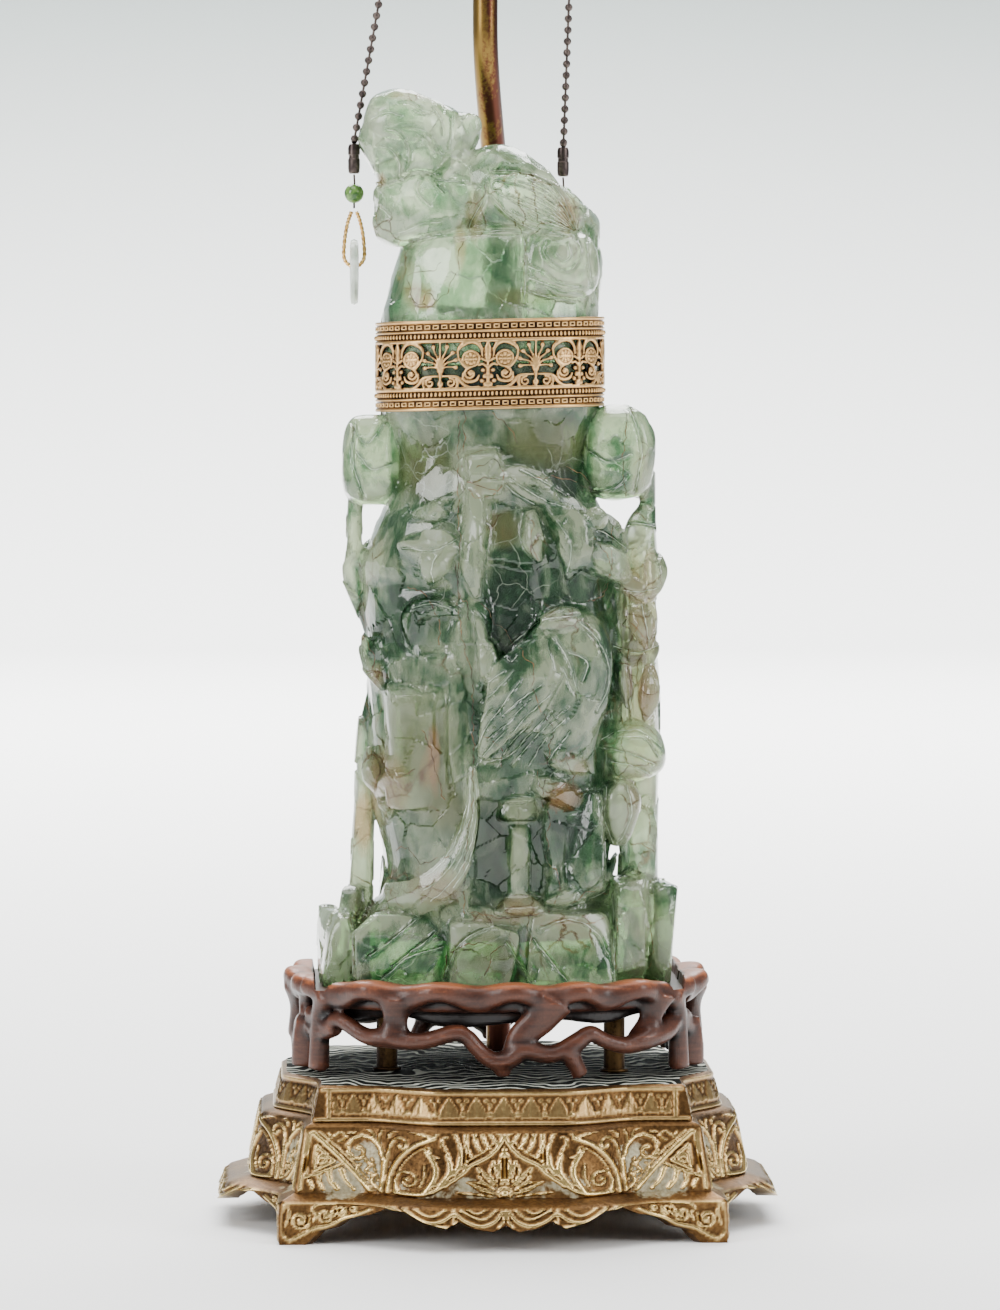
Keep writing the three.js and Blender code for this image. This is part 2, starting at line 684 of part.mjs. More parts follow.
// Chest, head, crest, nape and the two haunches: centre, half sizes, turn and facets
const lidLumps = [
  [[-22, -1, 63.5], [23, 18, 17.5], 0, 10, 6],
  [[-29, 0, 91], [20.5, 14, 17.5], 0.3, 8, 6],
  [[-7, -1, 94], [6.5, 5.5, 9], 0.2, 6, 5],
  [[-40, 0, 84], [9, 9, 14], 0.5, 6, 5],
  [[32, -18, 36], [13, 12, 16], 0.2, 6, 5],
  [[32, 18, 36], [13, 12, 16], 0.2, 6, 5],
];
const lidFeathers = [
  [[[-1, -17, 75], [16, -22, 69], [40, -15, 52]], [2, 6, 1.5]],
  [[[0, -19, 68], [17, -24, 61], [40, -18, 45]], [2, 6, 1.5]],
  [[[-1, 17, 75], [16, 22, 69], [40, 15, 52]], [2, 6, 1.5]],
  [[[0, 19, 68], [17, 24, 61], [40, 18, 45]], [2, 6, 1.5]],
];

function lid() {
  const cover = skin(lidProfile.map(([z, w, d, shift]) => ovalRing(ringCount, w, d, squareness, z, shift)));
  const inset = vaseWall + tongueGap;
  const tongue = skin([-tongueDepth, GAP + 2].map((z) => ovalRing(
    ringCount, neckHalf[0] - inset, neckHalf[1] - inset, squareness, z,
  )));
  const feathers = lidFeathers.map(([path, widths]) => blade(
    path.map((p) => new THREE.Vector3(...p)), widths, 2, path[0][1] < 0 ? front : back, 8,
  ));
  return carve([cover, tongue, ...lidLumps.map((row) => lump(...row)), ...feathers]);
}

// Pierced brass gallery round the joint of vase and lid

const galleryHalf = neckHalf.map((half) => half + 2.6);
const galleryFoot = -18;
const galleryTop = 17.5;
const galleryRepeats = 7;
const galleryStart = THREE.MathUtils.degToRad(-92.4); // turn of one of the upright torches
const railHeight = 8;

function galleryPoint(turn, out, z) {
  const [x, y] = ovalPoint(turn, galleryHalf[0] + out, galleryHalf[1] + out, squareness);
  return new THREE.Vector3(x, y, z);
}

function gallery() {
  const snug = galleryHalf[0] - neckHalf[0] - 2 * GAP;
  const section = [
    [-snug, galleryFoot], [0.4, galleryFoot], [-0.3, galleryFoot + railHeight],
    [-0.3, galleryTop - railHeight], [0.4, galleryTop], [-snug, galleryTop],
  ];
  const rings = Array.from({ length: ringCount }, (_, i) => section.map(([out, z]) => galleryPoint(
    (i / ringCount) * TURN, out, z,
  )));
  const repeat = TURN / galleryRepeats;
  const windows = [];
  for (let i = 0; i < galleryRepeats; i += 1) {
    for (const [share, z, across, tall] of [[-0.15, 0.8, 4.4, 12], [0.15, 0.8, 4.4, 12], [0.34, -1, 3, 8]]) {
      const middle = galleryPoint(galleryStart + (i + share) * repeat, 0, z);
      const bearing = THREE.MathUtils.radToDeg(Math.atan2(middle.y, middle.x));
      const cutter = turned(drum(1, -6, 6, 0, 0, 5), 90, 'X').scale(across / 2, 1, tall / 2);
      windows.push(placed(turned(cutter, bearing + 90), ...middle));
    }
  }
  return carve([skin(rings, true)], windows);
}

// Bent brass pipe behind the vase

const stemTop = mouth + 181;
const stemTopPlace = new THREE.Vector2(-3.8, 12);
const stemBend = [mouth + 51, mouth + 135];
const bendSteps = 8;

function stemPoint(z) {
  const share = THREE.MathUtils.smoothstep(z, ...stemBend);
  const place = stemFoot.clone().lerp(stemTopPlace, share);
  return new THREE.Vector3(place.x, place.y, z);
}

function stem() {
  const bend = Array.from({ length: bendSteps + 1 }, (_, i) => THREE.MathUtils.lerp(...stemBend, i / bendSteps));
  const heights = [baseHeight - baseWall - 8, ...bend, stemTop];
  const rings = heights.map((z) => {
    const middle = stemPoint(z);
    const along = stemPoint(z + 1).sub(stemPoint(z - 1)).normalize();
    const side = new THREE.Vector3().crossVectors(new THREE.Vector3(1, 0, 0), along).normalize();
    const across = new THREE.Vector3().crossVectors(along, side);
    return Array.from({ length: 10 }, (_, k) => {
      const a = (k / 10) * TURN;
      return middle.clone()
        .addScaledVector(across, stemRadius * Math.cos(a))
        .addScaledVector(side, stemRadius * Math.sin(a));
    });
  });
  return skin(rings);
}

// Lock nut that clamps the pipe under the base
function stemNut() {
  const top = baseHeight - baseWall - GAP;
  const bore = stemRadius + GAP;
  return carve([drum(stemRadius + 4, top - 5, top, ...stemFoot, 6)], [drum(bore, top - 9, top + 4, ...stemFoot)]);
}

// Two-light cluster: a turned body on the pipe, an arm and a pull-chain socket each way

const clusterFoot = stemTop + GAP;
const clusterHeight = 30;
const armAngle = 28;
const socketStart = 17;
const socketLength = 62;
const shellRadius = 16.5;
const shellBore = 13.6;
const shellDepth = 30;
const chainOutlet = { reach: 35.1, foot: stemTop + 5, radius: 2.6 };
const socketSides = 12;

function placeOnArm(geometry, hand) {
  return placed(
    turned(geometry, hand * (90 - armAngle), 'Y'),
    stemTopPlace.x, stemTopPlace.y, clusterFoot + clusterHeight / 2,
  );
}

function clusterBody() {
  const profile = [
    [0, 0], [9, 0], [10, 3], [7.5, 6], [14, 13], [13, 19], [8, 24], [8, clusterHeight], [0, clusterHeight],
  ];
  const body = placed(lathe(profile, 12), stemTopPlace.x, stemTopPlace.y, clusterFoot);
  const arm = lathe([[0, 0], [5, 0], [5, socketStart - GAP], [0, socketStart - GAP]], 8);
  return carve([body, placeOnArm(arm, -1), placeOnArm(arm, 1)]);
}

function socket(hand) {
  const end = socketStart + socketLength;
  const shell = lathe([
    [0, socketStart], [6, socketStart], [8, socketStart + 4], [shellRadius - 2, socketStart + 14],
    [shellRadius, socketStart + 20], [shellRadius, socketStart + 24], [shellRadius - 1, socketStart + 26],
    [shellRadius - 1, end - 3], [shellRadius + 0.6, end], [0, end],
  ], socketSides);
  const outlet = drum(
    chainOutlet.radius, chainOutlet.foot, chainOutlet.foot + 18,
    stemTopPlace.x + hand * chainOutlet.reach, stemTopPlace.y, 8,
  );
  const bore = lathe([[0, end - shellDepth], [shellBore, end - shellDepth], [shellBore, end + 1], [0, end + 1]],
    socketSides);
  return carve([placeOnArm(shell, hand), outlet], [placeOnArm(bore, hand)]);
}

function socketLiner(hand) {
  const floor = socketStart + socketLength - shellDepth + GAP;
  const outer = shellBore - GAP * 2;
  const rim = floor + shellDepth - 4;
  const profile = [[0, floor], [outer, floor], [outer, rim], [outer - 1.4, rim], [outer - 1.4, floor + 4], [0, floor + 4]];
  return placeOnArm(lathe(profile, socketSides), hand);
}

const riserRadius = 3.2;
const riserFoot = clusterFoot + clusterHeight + GAP;
const riserTop = riserFoot + 111.4;
const shadeSeatRadius = 9;

function shadeRiser() {
  const profile = [
    [0, riserFoot], [riserRadius + 2.5, riserFoot],
    [riserRadius + 2.5, riserFoot + 5], [riserRadius, riserFoot + 6],
    [riserRadius, riserTop - 4], [shadeSeatRadius, riserTop - 3], [shadeSeatRadius, riserTop], [0, riserTop],
  ];
  return placed(lathe(profile, 10), stemTopPlace.x, stemTopPlace.y, 0);
}

function shadeFinial() {
  const profile = [[0, 0], [5.5, 0], [6, 3], [3.5, 5], [7.5, 12], [7.5, 16], [4, 21], [0, 25]];
  return placed(lathe(profile, 10), stemTopPlace.x, stemTopPlace.y, riserTop + GAP);
}

// Pull chains of small beads on a wire, each with a connector, a jade bead, a looped gold chain and a ring

const beadPitch = 4.5;
const beadRadius = 1.6;
const wireRadius = 0.5;
const chainTop = chainOutlet.foot - GAP;
// Points of each chain below its outlet: the last two set where it hangs straight.
const chainPaths = {
  left: [[-54.6, 3, chainTop - 86.7], [-56.5, 2.5, chainTop - 97.7]],
  right: [[28.8, 30, chainTop - 86.7], [28.4, 33.5, chainTop - 97.7]],
};
const connectorLength = 12;
const jadeRadius = 3.9;
const jadeRing = { outer: 13.2, hole: 4.6, thick: 3.4 };
const strandRadius = 0.9;
const ringTurn = { left: 0, right: 90 }; // the left ring hangs edge-on to the front

function beadChain(hand, path) {
  const top = [stemTopPlace.x + hand * chainOutlet.reach, stemTopPlace.y, chainTop];
  const points = [top, ...path].map((p) => new THREE.Vector3(...p));
  const curve = new THREE.CatmullRomCurve3(points, false, 'chordal');
  const count = Math.floor(curve.getLength() / beadPitch);
  const rings = [];
  for (let i = 0; i <= 2 * count; i += 1) {
    const share = i / (2 * count);
    const middle = curve.getPointAt(share);
    const along = curve.getTangentAt(share);
    const side = new THREE.Vector3().crossVectors(along, new THREE.Vector3(0, 1, 0)).normalize();
    const out = new THREE.Vector3().crossVectors(side, along);
    const radius = i % 2 ? beadRadius : wireRadius;
    rings.push([0, 1, 2, 3].map((k) => middle.clone()
      .addScaledVector(side, radius * Math.cos((k / 4) * TURN))
      .addScaledVector(out, radius * Math.sin((k / 4) * TURN))));
  }
  return skin(rings);
}

function pullSet(name, hand) {
  const path = chainPaths[name];
  const [x, y, chainFoot] = path[path.length - 1];
  const connectorTop = chainFoot - GAP;
  const connectorFoot = connectorTop - connectorLength;
  const connector = lathe([[0, 0], [1.9, 0], [2.4, 1.5], [2.4, connectorLength - 1.5],
    [1.9, connectorLength], [0, connectorLength]], 8);
  const jadeMiddle = connectorFoot - 4 - jadeRadius;
  const jadeHole = drum(wireRadius + GAP, jadeMiddle - 6, jadeMiddle + 6, x, y, 6);
  const jade = carve([lump([x, y, jadeMiddle], [jadeRadius, jadeRadius, jadeRadius], 0, 8, 6)], [jadeHole]);
  const eye = jadeMiddle - jadeRadius - 2;
  const wire = drum(wireRadius, eye, connectorFoot - GAP, x, y, 6);
  const strandTop = eye - GAP - strandRadius;
  const ringTop = strandTop - 11;
  const ringMiddle = ringTop - jadeRing.outer;
  const holeTop = ringMiddle + jadeRing.hole;
  const spread = jadeRing.thick / 2 + strandRadius + 1.2;
  const loop = [[-1, strandTop], [-spread, ringTop], [-spread, holeTop],
    [0, holeTop - strandRadius - 1.8], [spread, holeTop], [spread, ringTop], [1, strandTop]];
  const strand = limb(
    loop.map(([across, z]) => new THREE.Vector3(across, 0, z - ringMiddle)),
    [strandRadius, strandRadius], 4, 12,
  );
  const half = jadeRing.thick / 2;
  const flatRing = lathe([[jadeRing.hole, -half], [jadeRing.outer, -half], [jadeRing.outer, half],
    [jadeRing.hole, half], [jadeRing.hole, -half]], 16);
  const hang = (geometry) => placed(turned(geometry, ringTurn[name]), x, y, ringMiddle);
  return [
    piece(`pull_chain_${name}`, beadChain(hand, path), chainMetal),
    piece(`chain_connector_${name}`, placed(connector, x, y, connectorFoot), chainMetal),
    piece(`pull_wire_${name}`, wire, chainMetal),
    piece(`jade_bead_${name}`, jade, greenJade),
    piece(`gold_loop_${name}`, hang(strand), goldWire),
    piece(`jade_ring_${name}`, hang(turned(flatRing, 90, 'Y')), whiteJade),
  ];
}

// The lamp

const lamp = new THREE.Group();
lamp.add(piece('cast_base', castBase(), castBrass));
lamp.add(piece('cord_bushing', cordBushing(), pipeBrass));
postPlaces.forEach(([x, y], i) => {
  const post = drum(postRadius, standFoot, boardUnder - GAP, x, y);
  lamp.add(piece(`support_post_${i + 1}`, post, pipeBrass));
});
lamp.add(piece('wood_stand', fretStand(), rosewood));
lamp.add(piece('fluorite_vase', vase(), fluorite));

const cover = new THREE.Group();
cover.position.set(neckShift, 0, mouth);
cover.rotation.y = -Math.atan(lean);
cover.add(piece('fluorite_lid', lid(), fluorite));
cover.add(piece('pierced_gallery', gallery(), giltBrass));
lamp.add(cover);

lamp.add(piece('stem_pipe', stem(), pipeBrass));
lamp.add(piece('stem_nut', stemNut(), pipeBrass));
lamp.add(piece('cluster_body', clusterBody(), pipeBrass));
for (const [name, hand] of [['left', -1], ['right', 1]]) {
  lamp.add(piece(`socket_${name}`, socket(hand), pipeBrass));
  lamp.add(piece(`socket_liner_${name}`, socketLiner(hand), porcelain));
  lamp.add(...pullSet(name, hand));
}
lamp.add(piece('shade_riser', shadeRiser(), pipeBrass));
lamp.add(piece('shade_finial', shadeFinial(), pipeBrass));

export default lamp;
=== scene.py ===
import math

import bpy
import numpy as np
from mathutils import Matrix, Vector
from mathutils.bvhtree import BVHTree


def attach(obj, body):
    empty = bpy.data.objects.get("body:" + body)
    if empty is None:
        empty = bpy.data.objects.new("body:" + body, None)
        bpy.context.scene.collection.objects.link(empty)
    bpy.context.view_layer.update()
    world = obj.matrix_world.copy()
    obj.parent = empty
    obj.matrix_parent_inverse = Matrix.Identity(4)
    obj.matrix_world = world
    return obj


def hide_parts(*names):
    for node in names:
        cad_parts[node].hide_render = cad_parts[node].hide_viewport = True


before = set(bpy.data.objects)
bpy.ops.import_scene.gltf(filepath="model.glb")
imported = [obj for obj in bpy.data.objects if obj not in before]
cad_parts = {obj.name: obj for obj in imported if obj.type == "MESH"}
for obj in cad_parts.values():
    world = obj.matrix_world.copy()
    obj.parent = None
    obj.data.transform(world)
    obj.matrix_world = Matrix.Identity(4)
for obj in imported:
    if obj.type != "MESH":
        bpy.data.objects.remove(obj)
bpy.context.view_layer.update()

# Camera: a long lens from just left of the lamp's front, a little over the height of the wooden
# stand, turned down so that the base comes near the lower edge of the picture.

MM = 0.001
camera_distance = 2400 * MM
camera_height = 336 * MM
camera_azimuth = math.radians(-2.0)
camera_turn_down = math.radians(2.66)
camera_turn_right = math.radians(0.04)

lens = bpy.data.cameras.new("camera")
lens.lens = 164.9
lens.sensor_width = 36
lens.clip_end = 20
camera = bpy.data.objects.new("camera", lens)
camera.location = (
    camera_distance * math.sin(camera_azimuth),
    -camera_distance * math.cos(camera_azimuth),
    camera_height,
)
camera.rotation_euler = (
    math.radians(90) - camera_turn_down,
    0,
    camera_azimuth - camera_turn_right,
)
bpy.context.scene.collection.objects.link(camera)
bpy.context.scene.camera = camera


# Studio sweep. A seamless pale backdrop, near white on the floor and, as painted shade, cooler and
# greyer higher up, that curves up far behind the lamp. It is paper, rolled down from a bar.

sweep_near = -6
sweep_far = 5
sweep_radius = 0.9
sweep_half_width = 7
sweep_height = 4
sweep_shade_height = 0.95

def new_object(name, points, faces, smooth=True):
    """A mesh object from an array of points and a list or array of faces."""
    mesh = bpy.data.meshes.new(name)
    faces = faces.tolist() if hasattr(faces, "tolist") else faces
    mesh.from_pydata(np.asarray(points, float).reshape(-1, 3).tolist(), [], faces)
    mesh.update()
    if smooth:
        mesh.shade_smooth()
    thing = bpy.data.objects.new(name, mesh)
    bpy.context.scene.collection.objects.link(thing)
    return thing


class Finish:
    """A material in the making: each call adds a node and gives its output back. Inputs are plain
    values or the outputs of other nodes."""

    def __init__(self, name):
        self.material = bpy.data.materials.new(name)
        self.material.use_nodes = True
        self.material.node_tree.nodes.clear()
        self.place = self.node("TexCoord", "Object")

    def node(self, kind, out, inputs=(), **settings):
        tree = self.material.node_tree
        made = tree.nodes.new("ShaderNode" + kind)
        for key, value in settings.items():
            setattr(made, key, value)
        for key, value in dict(inputs).items():
            if isinstance(value, bpy.types.NodeSocket):
                tree.links.new(value, made.inputs[key])
            else:
                made.inputs[key].default_value = value
        return made.outputs[out] if out else made

    def noise(self, scale, detail=2, stretch=(1, 1, 1), wobble=0.0, out="Fac"):
        spot = self.node("Mapping", "Vector", {"Vector": self.place, "Scale": stretch})
        settings = {"Vector": spot, "Scale": scale, "Detail": detail, "Distortion": wobble}
        return self.node("TexNoise", out, settings)

    def ramp(self, value, *stops):
        made = self.node("ValToRGB", None, {"Fac": value})
        elements = made.color_ramp.elements
        while len(elements) < len(stops):
            elements.new(0.5)
        for element, (position, colour) in zip(elements, stops):
            element.position = position
            element.color = (*colour, 1)
        return made.outputs["Color"]

    def plus(self, first, second, amount):
        """first + second * amount"""
        return self.node("Math", "Value", {0: second, 1: amount, 2: first}, operation="MULTIPLY_ADD")

    def times(self, first, second):
        return self.node("Math", "Value", {0: first, 1: second}, operation="MULTIPLY")

    def minus(self, first, second):
        return self.node("Math", "Value", {0: first, 1: second}, operation="SUBTRACT")

    def mix(self, share, below, above):
        above = (*above, 1) if isinstance(above, tuple) else above
        return self.node("Mix", "Result", {"Factor": share, "A": below, "B": above}, data_type="RGBA")

    def between(self, value, low, high):
        return self.node("MapRange", "Result", {"Value": value, "To Min": low, "To Max": high})

    def marks(self, name):
        """Red, green and blue of a colour attribute of the mesh."""
        colour = self.node("Attribute", "Color", attribute_name=name)
        made = self.node("SeparateColor", None, {"Color": colour})
        return [made.outputs[part] for part in ("Red", "Green", "Blue")]

    def bump(self, height, strength, distance):
        return self.node("Bump", "Normal", {"Height": height, "Strength": strength, "Distance": distance})

    def surface(self, inputs, **volume):
        body = self.node("BsdfPrincipled", "BSDF", inputs)
        self.node("OutputMaterial", None, {"Surface": body, **volume})
        return self.material


def studio_sweep():
    """Profile in the side view: flat floor, quarter circle of the sweep's radius, upright wall."""
    turn = np.linspace(0, math.pi / 2, 24)
    y = np.concatenate([[sweep_near], sweep_far + sweep_radius * np.sin(turn),
                        [sweep_far + sweep_radius]])
    z = np.concatenate([[0], sweep_radius * (1 - np.cos(turn)), [sweep_height]])
    left = np.stack([np.full_like(y, -sweep_half_width), y, z], 1)
    right = left * [-1, 1, 1]
    count = len(y)
    i = np.arange(count - 1)
    faces = np.stack([i, i + count, i + count + 1, i + 1], 1)
    return new_object("studio_sweep", np.concatenate([left, right]), faces)

def sweep_material():
    paper = Finish("sweep_paper")
    height = paper.node("SeparateXYZ", "Z", {"Vector": paper.place})
    share = paper.node("MapRange", "Result", {"Value": height, "From Min": 0.0,
                                              "From Max": sweep_shade_height})
    # Painted shade: the paper's colour turns cooler and greyer with height.
    colour = paper.ramp(share, (0, (0.97, 0.97, 0.96)), (1, (0.2, 0.237, 0.229)))
    return paper.surface({"Base Color": colour, "Roughness": 0.9, "Specular IOR Level": 0.1})


sweep = studio_sweep()
sweep.data.materials.append(sweep_material())


# Light. One tall softbox each side of the camera, one overhead, one for the backdrop's wall and one
# for its floor, and a dim even room.


def softbox(name, place, target, size, power):
    light = bpy.data.lights.new(name, "AREA")
    light.shape = "RECTANGLE"
    light.size, light.size_y = size
    light.energy = power
    lamp = bpy.data.objects.new(name, light)
    lamp.location = place
    aim = Vector(target) - Vector(place)
    lamp.rotation_euler = aim.to_track_quat("-Z", "Y").to_euler()
    bpy.context.scene.collection.objects.link(lamp)


softbox("softbox_left", (-2.0, -1.6, 1.3), (0, 0, 0.3), (1.0, 1.6), 56)
softbox("softbox_right", (2.1, -1.3, 1.2), (0, 0, 0.3), (0.9, 1.5), 42)
softbox("softbox_top", (0, -0.4, 2.4), (0, 0, 0.2), (2.2, 1.6), 40)
softbox("backdrop_light", (0, 3.3, 3.0), (0, 5.6, 0.7), (4.0, 0.9), 360)
softbox("floor_light", (0, 2.6, 3.0), (0, 2.3, 0), (3.4, 3.2), 430)

world = bpy.data.worlds.new("room")
world.use_nodes = True
world.node_tree.nodes["Background"].inputs["Color"].default_value = (0.97, 0.99, 1.0, 1)
world.node_tree.nodes["Background"].inputs["Strength"].default_value = 0.45
bpy.context.scene.world = world


# Fluorite vase. One block of green fluorite, hollowed and carved all round with rocks, leaves, buds
# and a large bird, then polished. It stands loose in the recess of the wooden stand. Its sizes are
# in millimetres until the mesh is made.

vase_foot = 94.8
vase_mouth = 341
mouth_lean = math.tan(math.radians(1.5))
stone_squareness = 2.6
# Height, half width, half depth, shift to the side.
vase_profile = np.array([
    [94.8, 58, 37, 0],
    [120, 57, 38, 0],
    [127, 47, 37, 0],
    [146, 45, 37.5, 0],
    [166, 49, 38.5, 0],
    [200, 51, 39, 0],
    [250, 52, 38.6, -0.5],
    [262, 52.5, 38.2, -1],
    [271, 49, 37, -1.3],
    [281, 44, 35, -1.6],
    [294, 38.5, 32.5, -2],
    [306, 37, 31, -2.4],
    [320, 42, 31.3, -2.4],
    [323, 43, 32.3, -2.4],
    [341, 43, 32.3, -2.4],
])
vase_wall = 8
cavity_floor = 112


def smoothstep(value, low, high):
    t = np.clip((value - low) / (high - low), 0, 1)
    return t * t * (3 - 2 * t)


def profile_at(z, column, profile=vase_profile):
    return np.interp(z, profile[:, 0], profile[:, column])


def squared_circle(turn, squareness):
    """Superellipse |x|^n + |y|^n = 1 at the given turns."""
    power = 2 / squareness
    x = np.sign(np.cos(turn)) * np.abs(np.cos(turn)) ** power
    y = np.sign(np.sin(turn)) * np.abs(np.sin(turn)) ** power
    return x, y


def full_turn(count):
    return np.linspace(0, 2 * math.pi, count, endpoint=False)


def oval_rings(z, half_width, half_depth, shift, around):
    """Squared circle of the given half sizes at each height, tipped up to the right above the neck."""
    x, y = squared_circle(full_turn(around), stone_squareness)
    x, y = x * half_width[:, None], y * half_depth[:, None]
    lean = mouth_lean * smoothstep(z, 285, 306)
    height = z[:, None] + x * lean[:, None]
    return np.stack([x + shift[:, None], y, height], 2)


def closed_surface(rings):
    """Points and faces of a skin through rings of equal length, closed at both ends by a middle point."""
    rows, columns = rings.shape[:2]
    r, c = np.meshgrid(np.arange(rows - 1), np.arange(columns), indexing="ij")
    n = (c + 1) % columns
    sides = np.stack([r * columns + c, r * columns + n, (r + 1) * columns + n, (r + 1) * columns + c], 2)
    ends = rings[[0, -1]].mean(1)
    first, last = rows * columns, rows * columns + 1
    c = np.arange(columns)
    n = (c + 1) % columns
    low = np.stack([c, np.full(columns, first), n], 1)
    high = np.stack([(rows - 1) * columns + c, (rows - 1) * columns + n, np.full(columns, last)], 1)
    points = np.concatenate([rings.reshape(-1, 3), ends])
    faces = sides.reshape(-1, 4).tolist() + low.tolist() + high.tolist()
    volume = 0.0
    for kind in (sides.reshape(-1, 4)[:, [0, 1, 2]], sides.reshape(-1, 4)[:, [0, 2, 3]], low, high):
        a, b, d = points[kind[:, 0]], points[kind[:, 1]], points[kind[:, 2]]
        volume += float((a * np.cross(b, d)).sum())
    if volume < 0:
        faces = [face[::-1] for face in faces]
    return points, faces


def lump(centre, half, lean=0, power=2.4, taper=0.0, turn=0):
    """Superellipsoid of the given half sizes: wider below with taper > 0, leaned in the front view."""
    rise = np.linspace(-math.pi / 2, math.pi / 2, 26)[1:-1]
    around = full_turn(36)
    share = 2 / power

    def bend(value):
        return np.sign(value) * np.abs(value) ** share

    level = bend(np.sin(rise))[:, None] * np.ones_like(around)
    narrow = 1 - taper * level
    x = half[0] * bend(np.cos(rise))[:, None] * bend(np.cos(around)) * narrow
    y = half[1] * bend(np.cos(rise))[:, None] * bend(np.sin(around)) * narrow
    z = half[2] * level
    a, b = math.radians(lean), math.radians(turn)
    x, z = x * math.cos(a) + z * math.sin(a), z * math.cos(a) - x * math.sin(a)
    x, y = x * math.cos(b) - y * math.sin(b), y * math.cos(b) + x * math.sin(b)
    return closed_surface(np.stack([x, y, z], 2) + np.array(centre, float))


def spline(points, count):
    """Catmull-Rom curve through rows of numbers, at even steps of its parameter."""
    points = np.asarray(points, float)
    padded = np.concatenate([[2 * points[0] - points[1]], points, [2 * points[-1] - points[-2]]])
    place = np.linspace(0, len(points) - 1, count)
    start = np.minimum(place.astype(int), len(points) - 2)
    t = (place - start)[:, None]
    a, b, c, d = (padded[start + k] for k in range(4))
    return 0.5 * (2 * b + (c - a) * t + (2 * a - 5 * b + 4 * c - d) * t**2 + (3 * b - a - 3 * c + d) * t**3)


def along(curve):
    way = np.gradient(curve, axis=0)
    return way / np.maximum(np.linalg.norm(way, axis=1, keepdims=True), 1e-9)


def limb(path, radii, flat=1.0):
    """Round bar of changing radius along a curve, flattened front to back by flat."""
    curve = spline(path, 30)
    radius = spline(np.array(radii, float)[:, None], 30)[:, 0]
    way = along(curve)
    side = np.cross(way, [0, 1, 0])
    side /= np.maximum(np.linalg.norm(side, axis=1, keepdims=True), 1e-9)
    out = np.cross(side, way)
    turn = full_turn(16)[None, :, None]
    radius = np.maximum(radius, 0.3)[:, None, None]
    ring = side[:, None] * np.cos(turn) * radius + out[:, None] * np.sin(turn) * radius * flat
    return closed_surface(curve[:, None] + ring)


def leaf(path, widths, thick=3.0, facing=-1, rib=0.8, cup=0.0, root=7.0):
    """Lens-shaped section with a sunk midrib along a curve; its edges turn down into the stone."""
    curve = spline(path, 34)
    width = np.maximum(spline(np.array(widths, float)[:, None], 34)[:, 0], 0.25)
    way = along(curve)
    outward = np.array([0, facing, 0], float)
    side = np.cross(way, outward)
    side /= np.maximum(np.linalg.norm(side, axis=1, keepdims=True), 1e-9)
    across = np.concatenate([np.linspace(-1, 1, 17), np.linspace(1, -1, 7)[1:-1]])
    top = np.concatenate([np.ones(17), np.zeros(5)])
    height = thick * (1 - (1 - cup) * np.abs(across) ** 2.2) - rib * np.exp(-((across / 0.13) ** 2))
    height = np.where(top > 0, height, -root)
    shrink = (0.35 + 0.65 * width / width.max())[:, None]
    ring = side[:, None] * (across[None, :, None] * width[:, None, None])
    ring = ring + outward * np.where(top > 0, height * shrink, height)[:, :, None]
    return closed_surface(curve[:, None] + ring)


def on_vase(x, z, lift, facing=-1):
    """Point of the vase's uncarved face, moved out from it by lift."""
    share = np.minimum(np.abs(x - profile_at(z, 3)) / profile_at(z, 1), 0.96)
    depth = profile_at(z, 2) * (1 - share**stone_squareness) ** (1 / stone_squareness)
    return [x, facing * (depth + lift), z]


def face_path(points, facing=-1):
    return [on_vase(x, z, lift, facing) for x, z, lift in points]


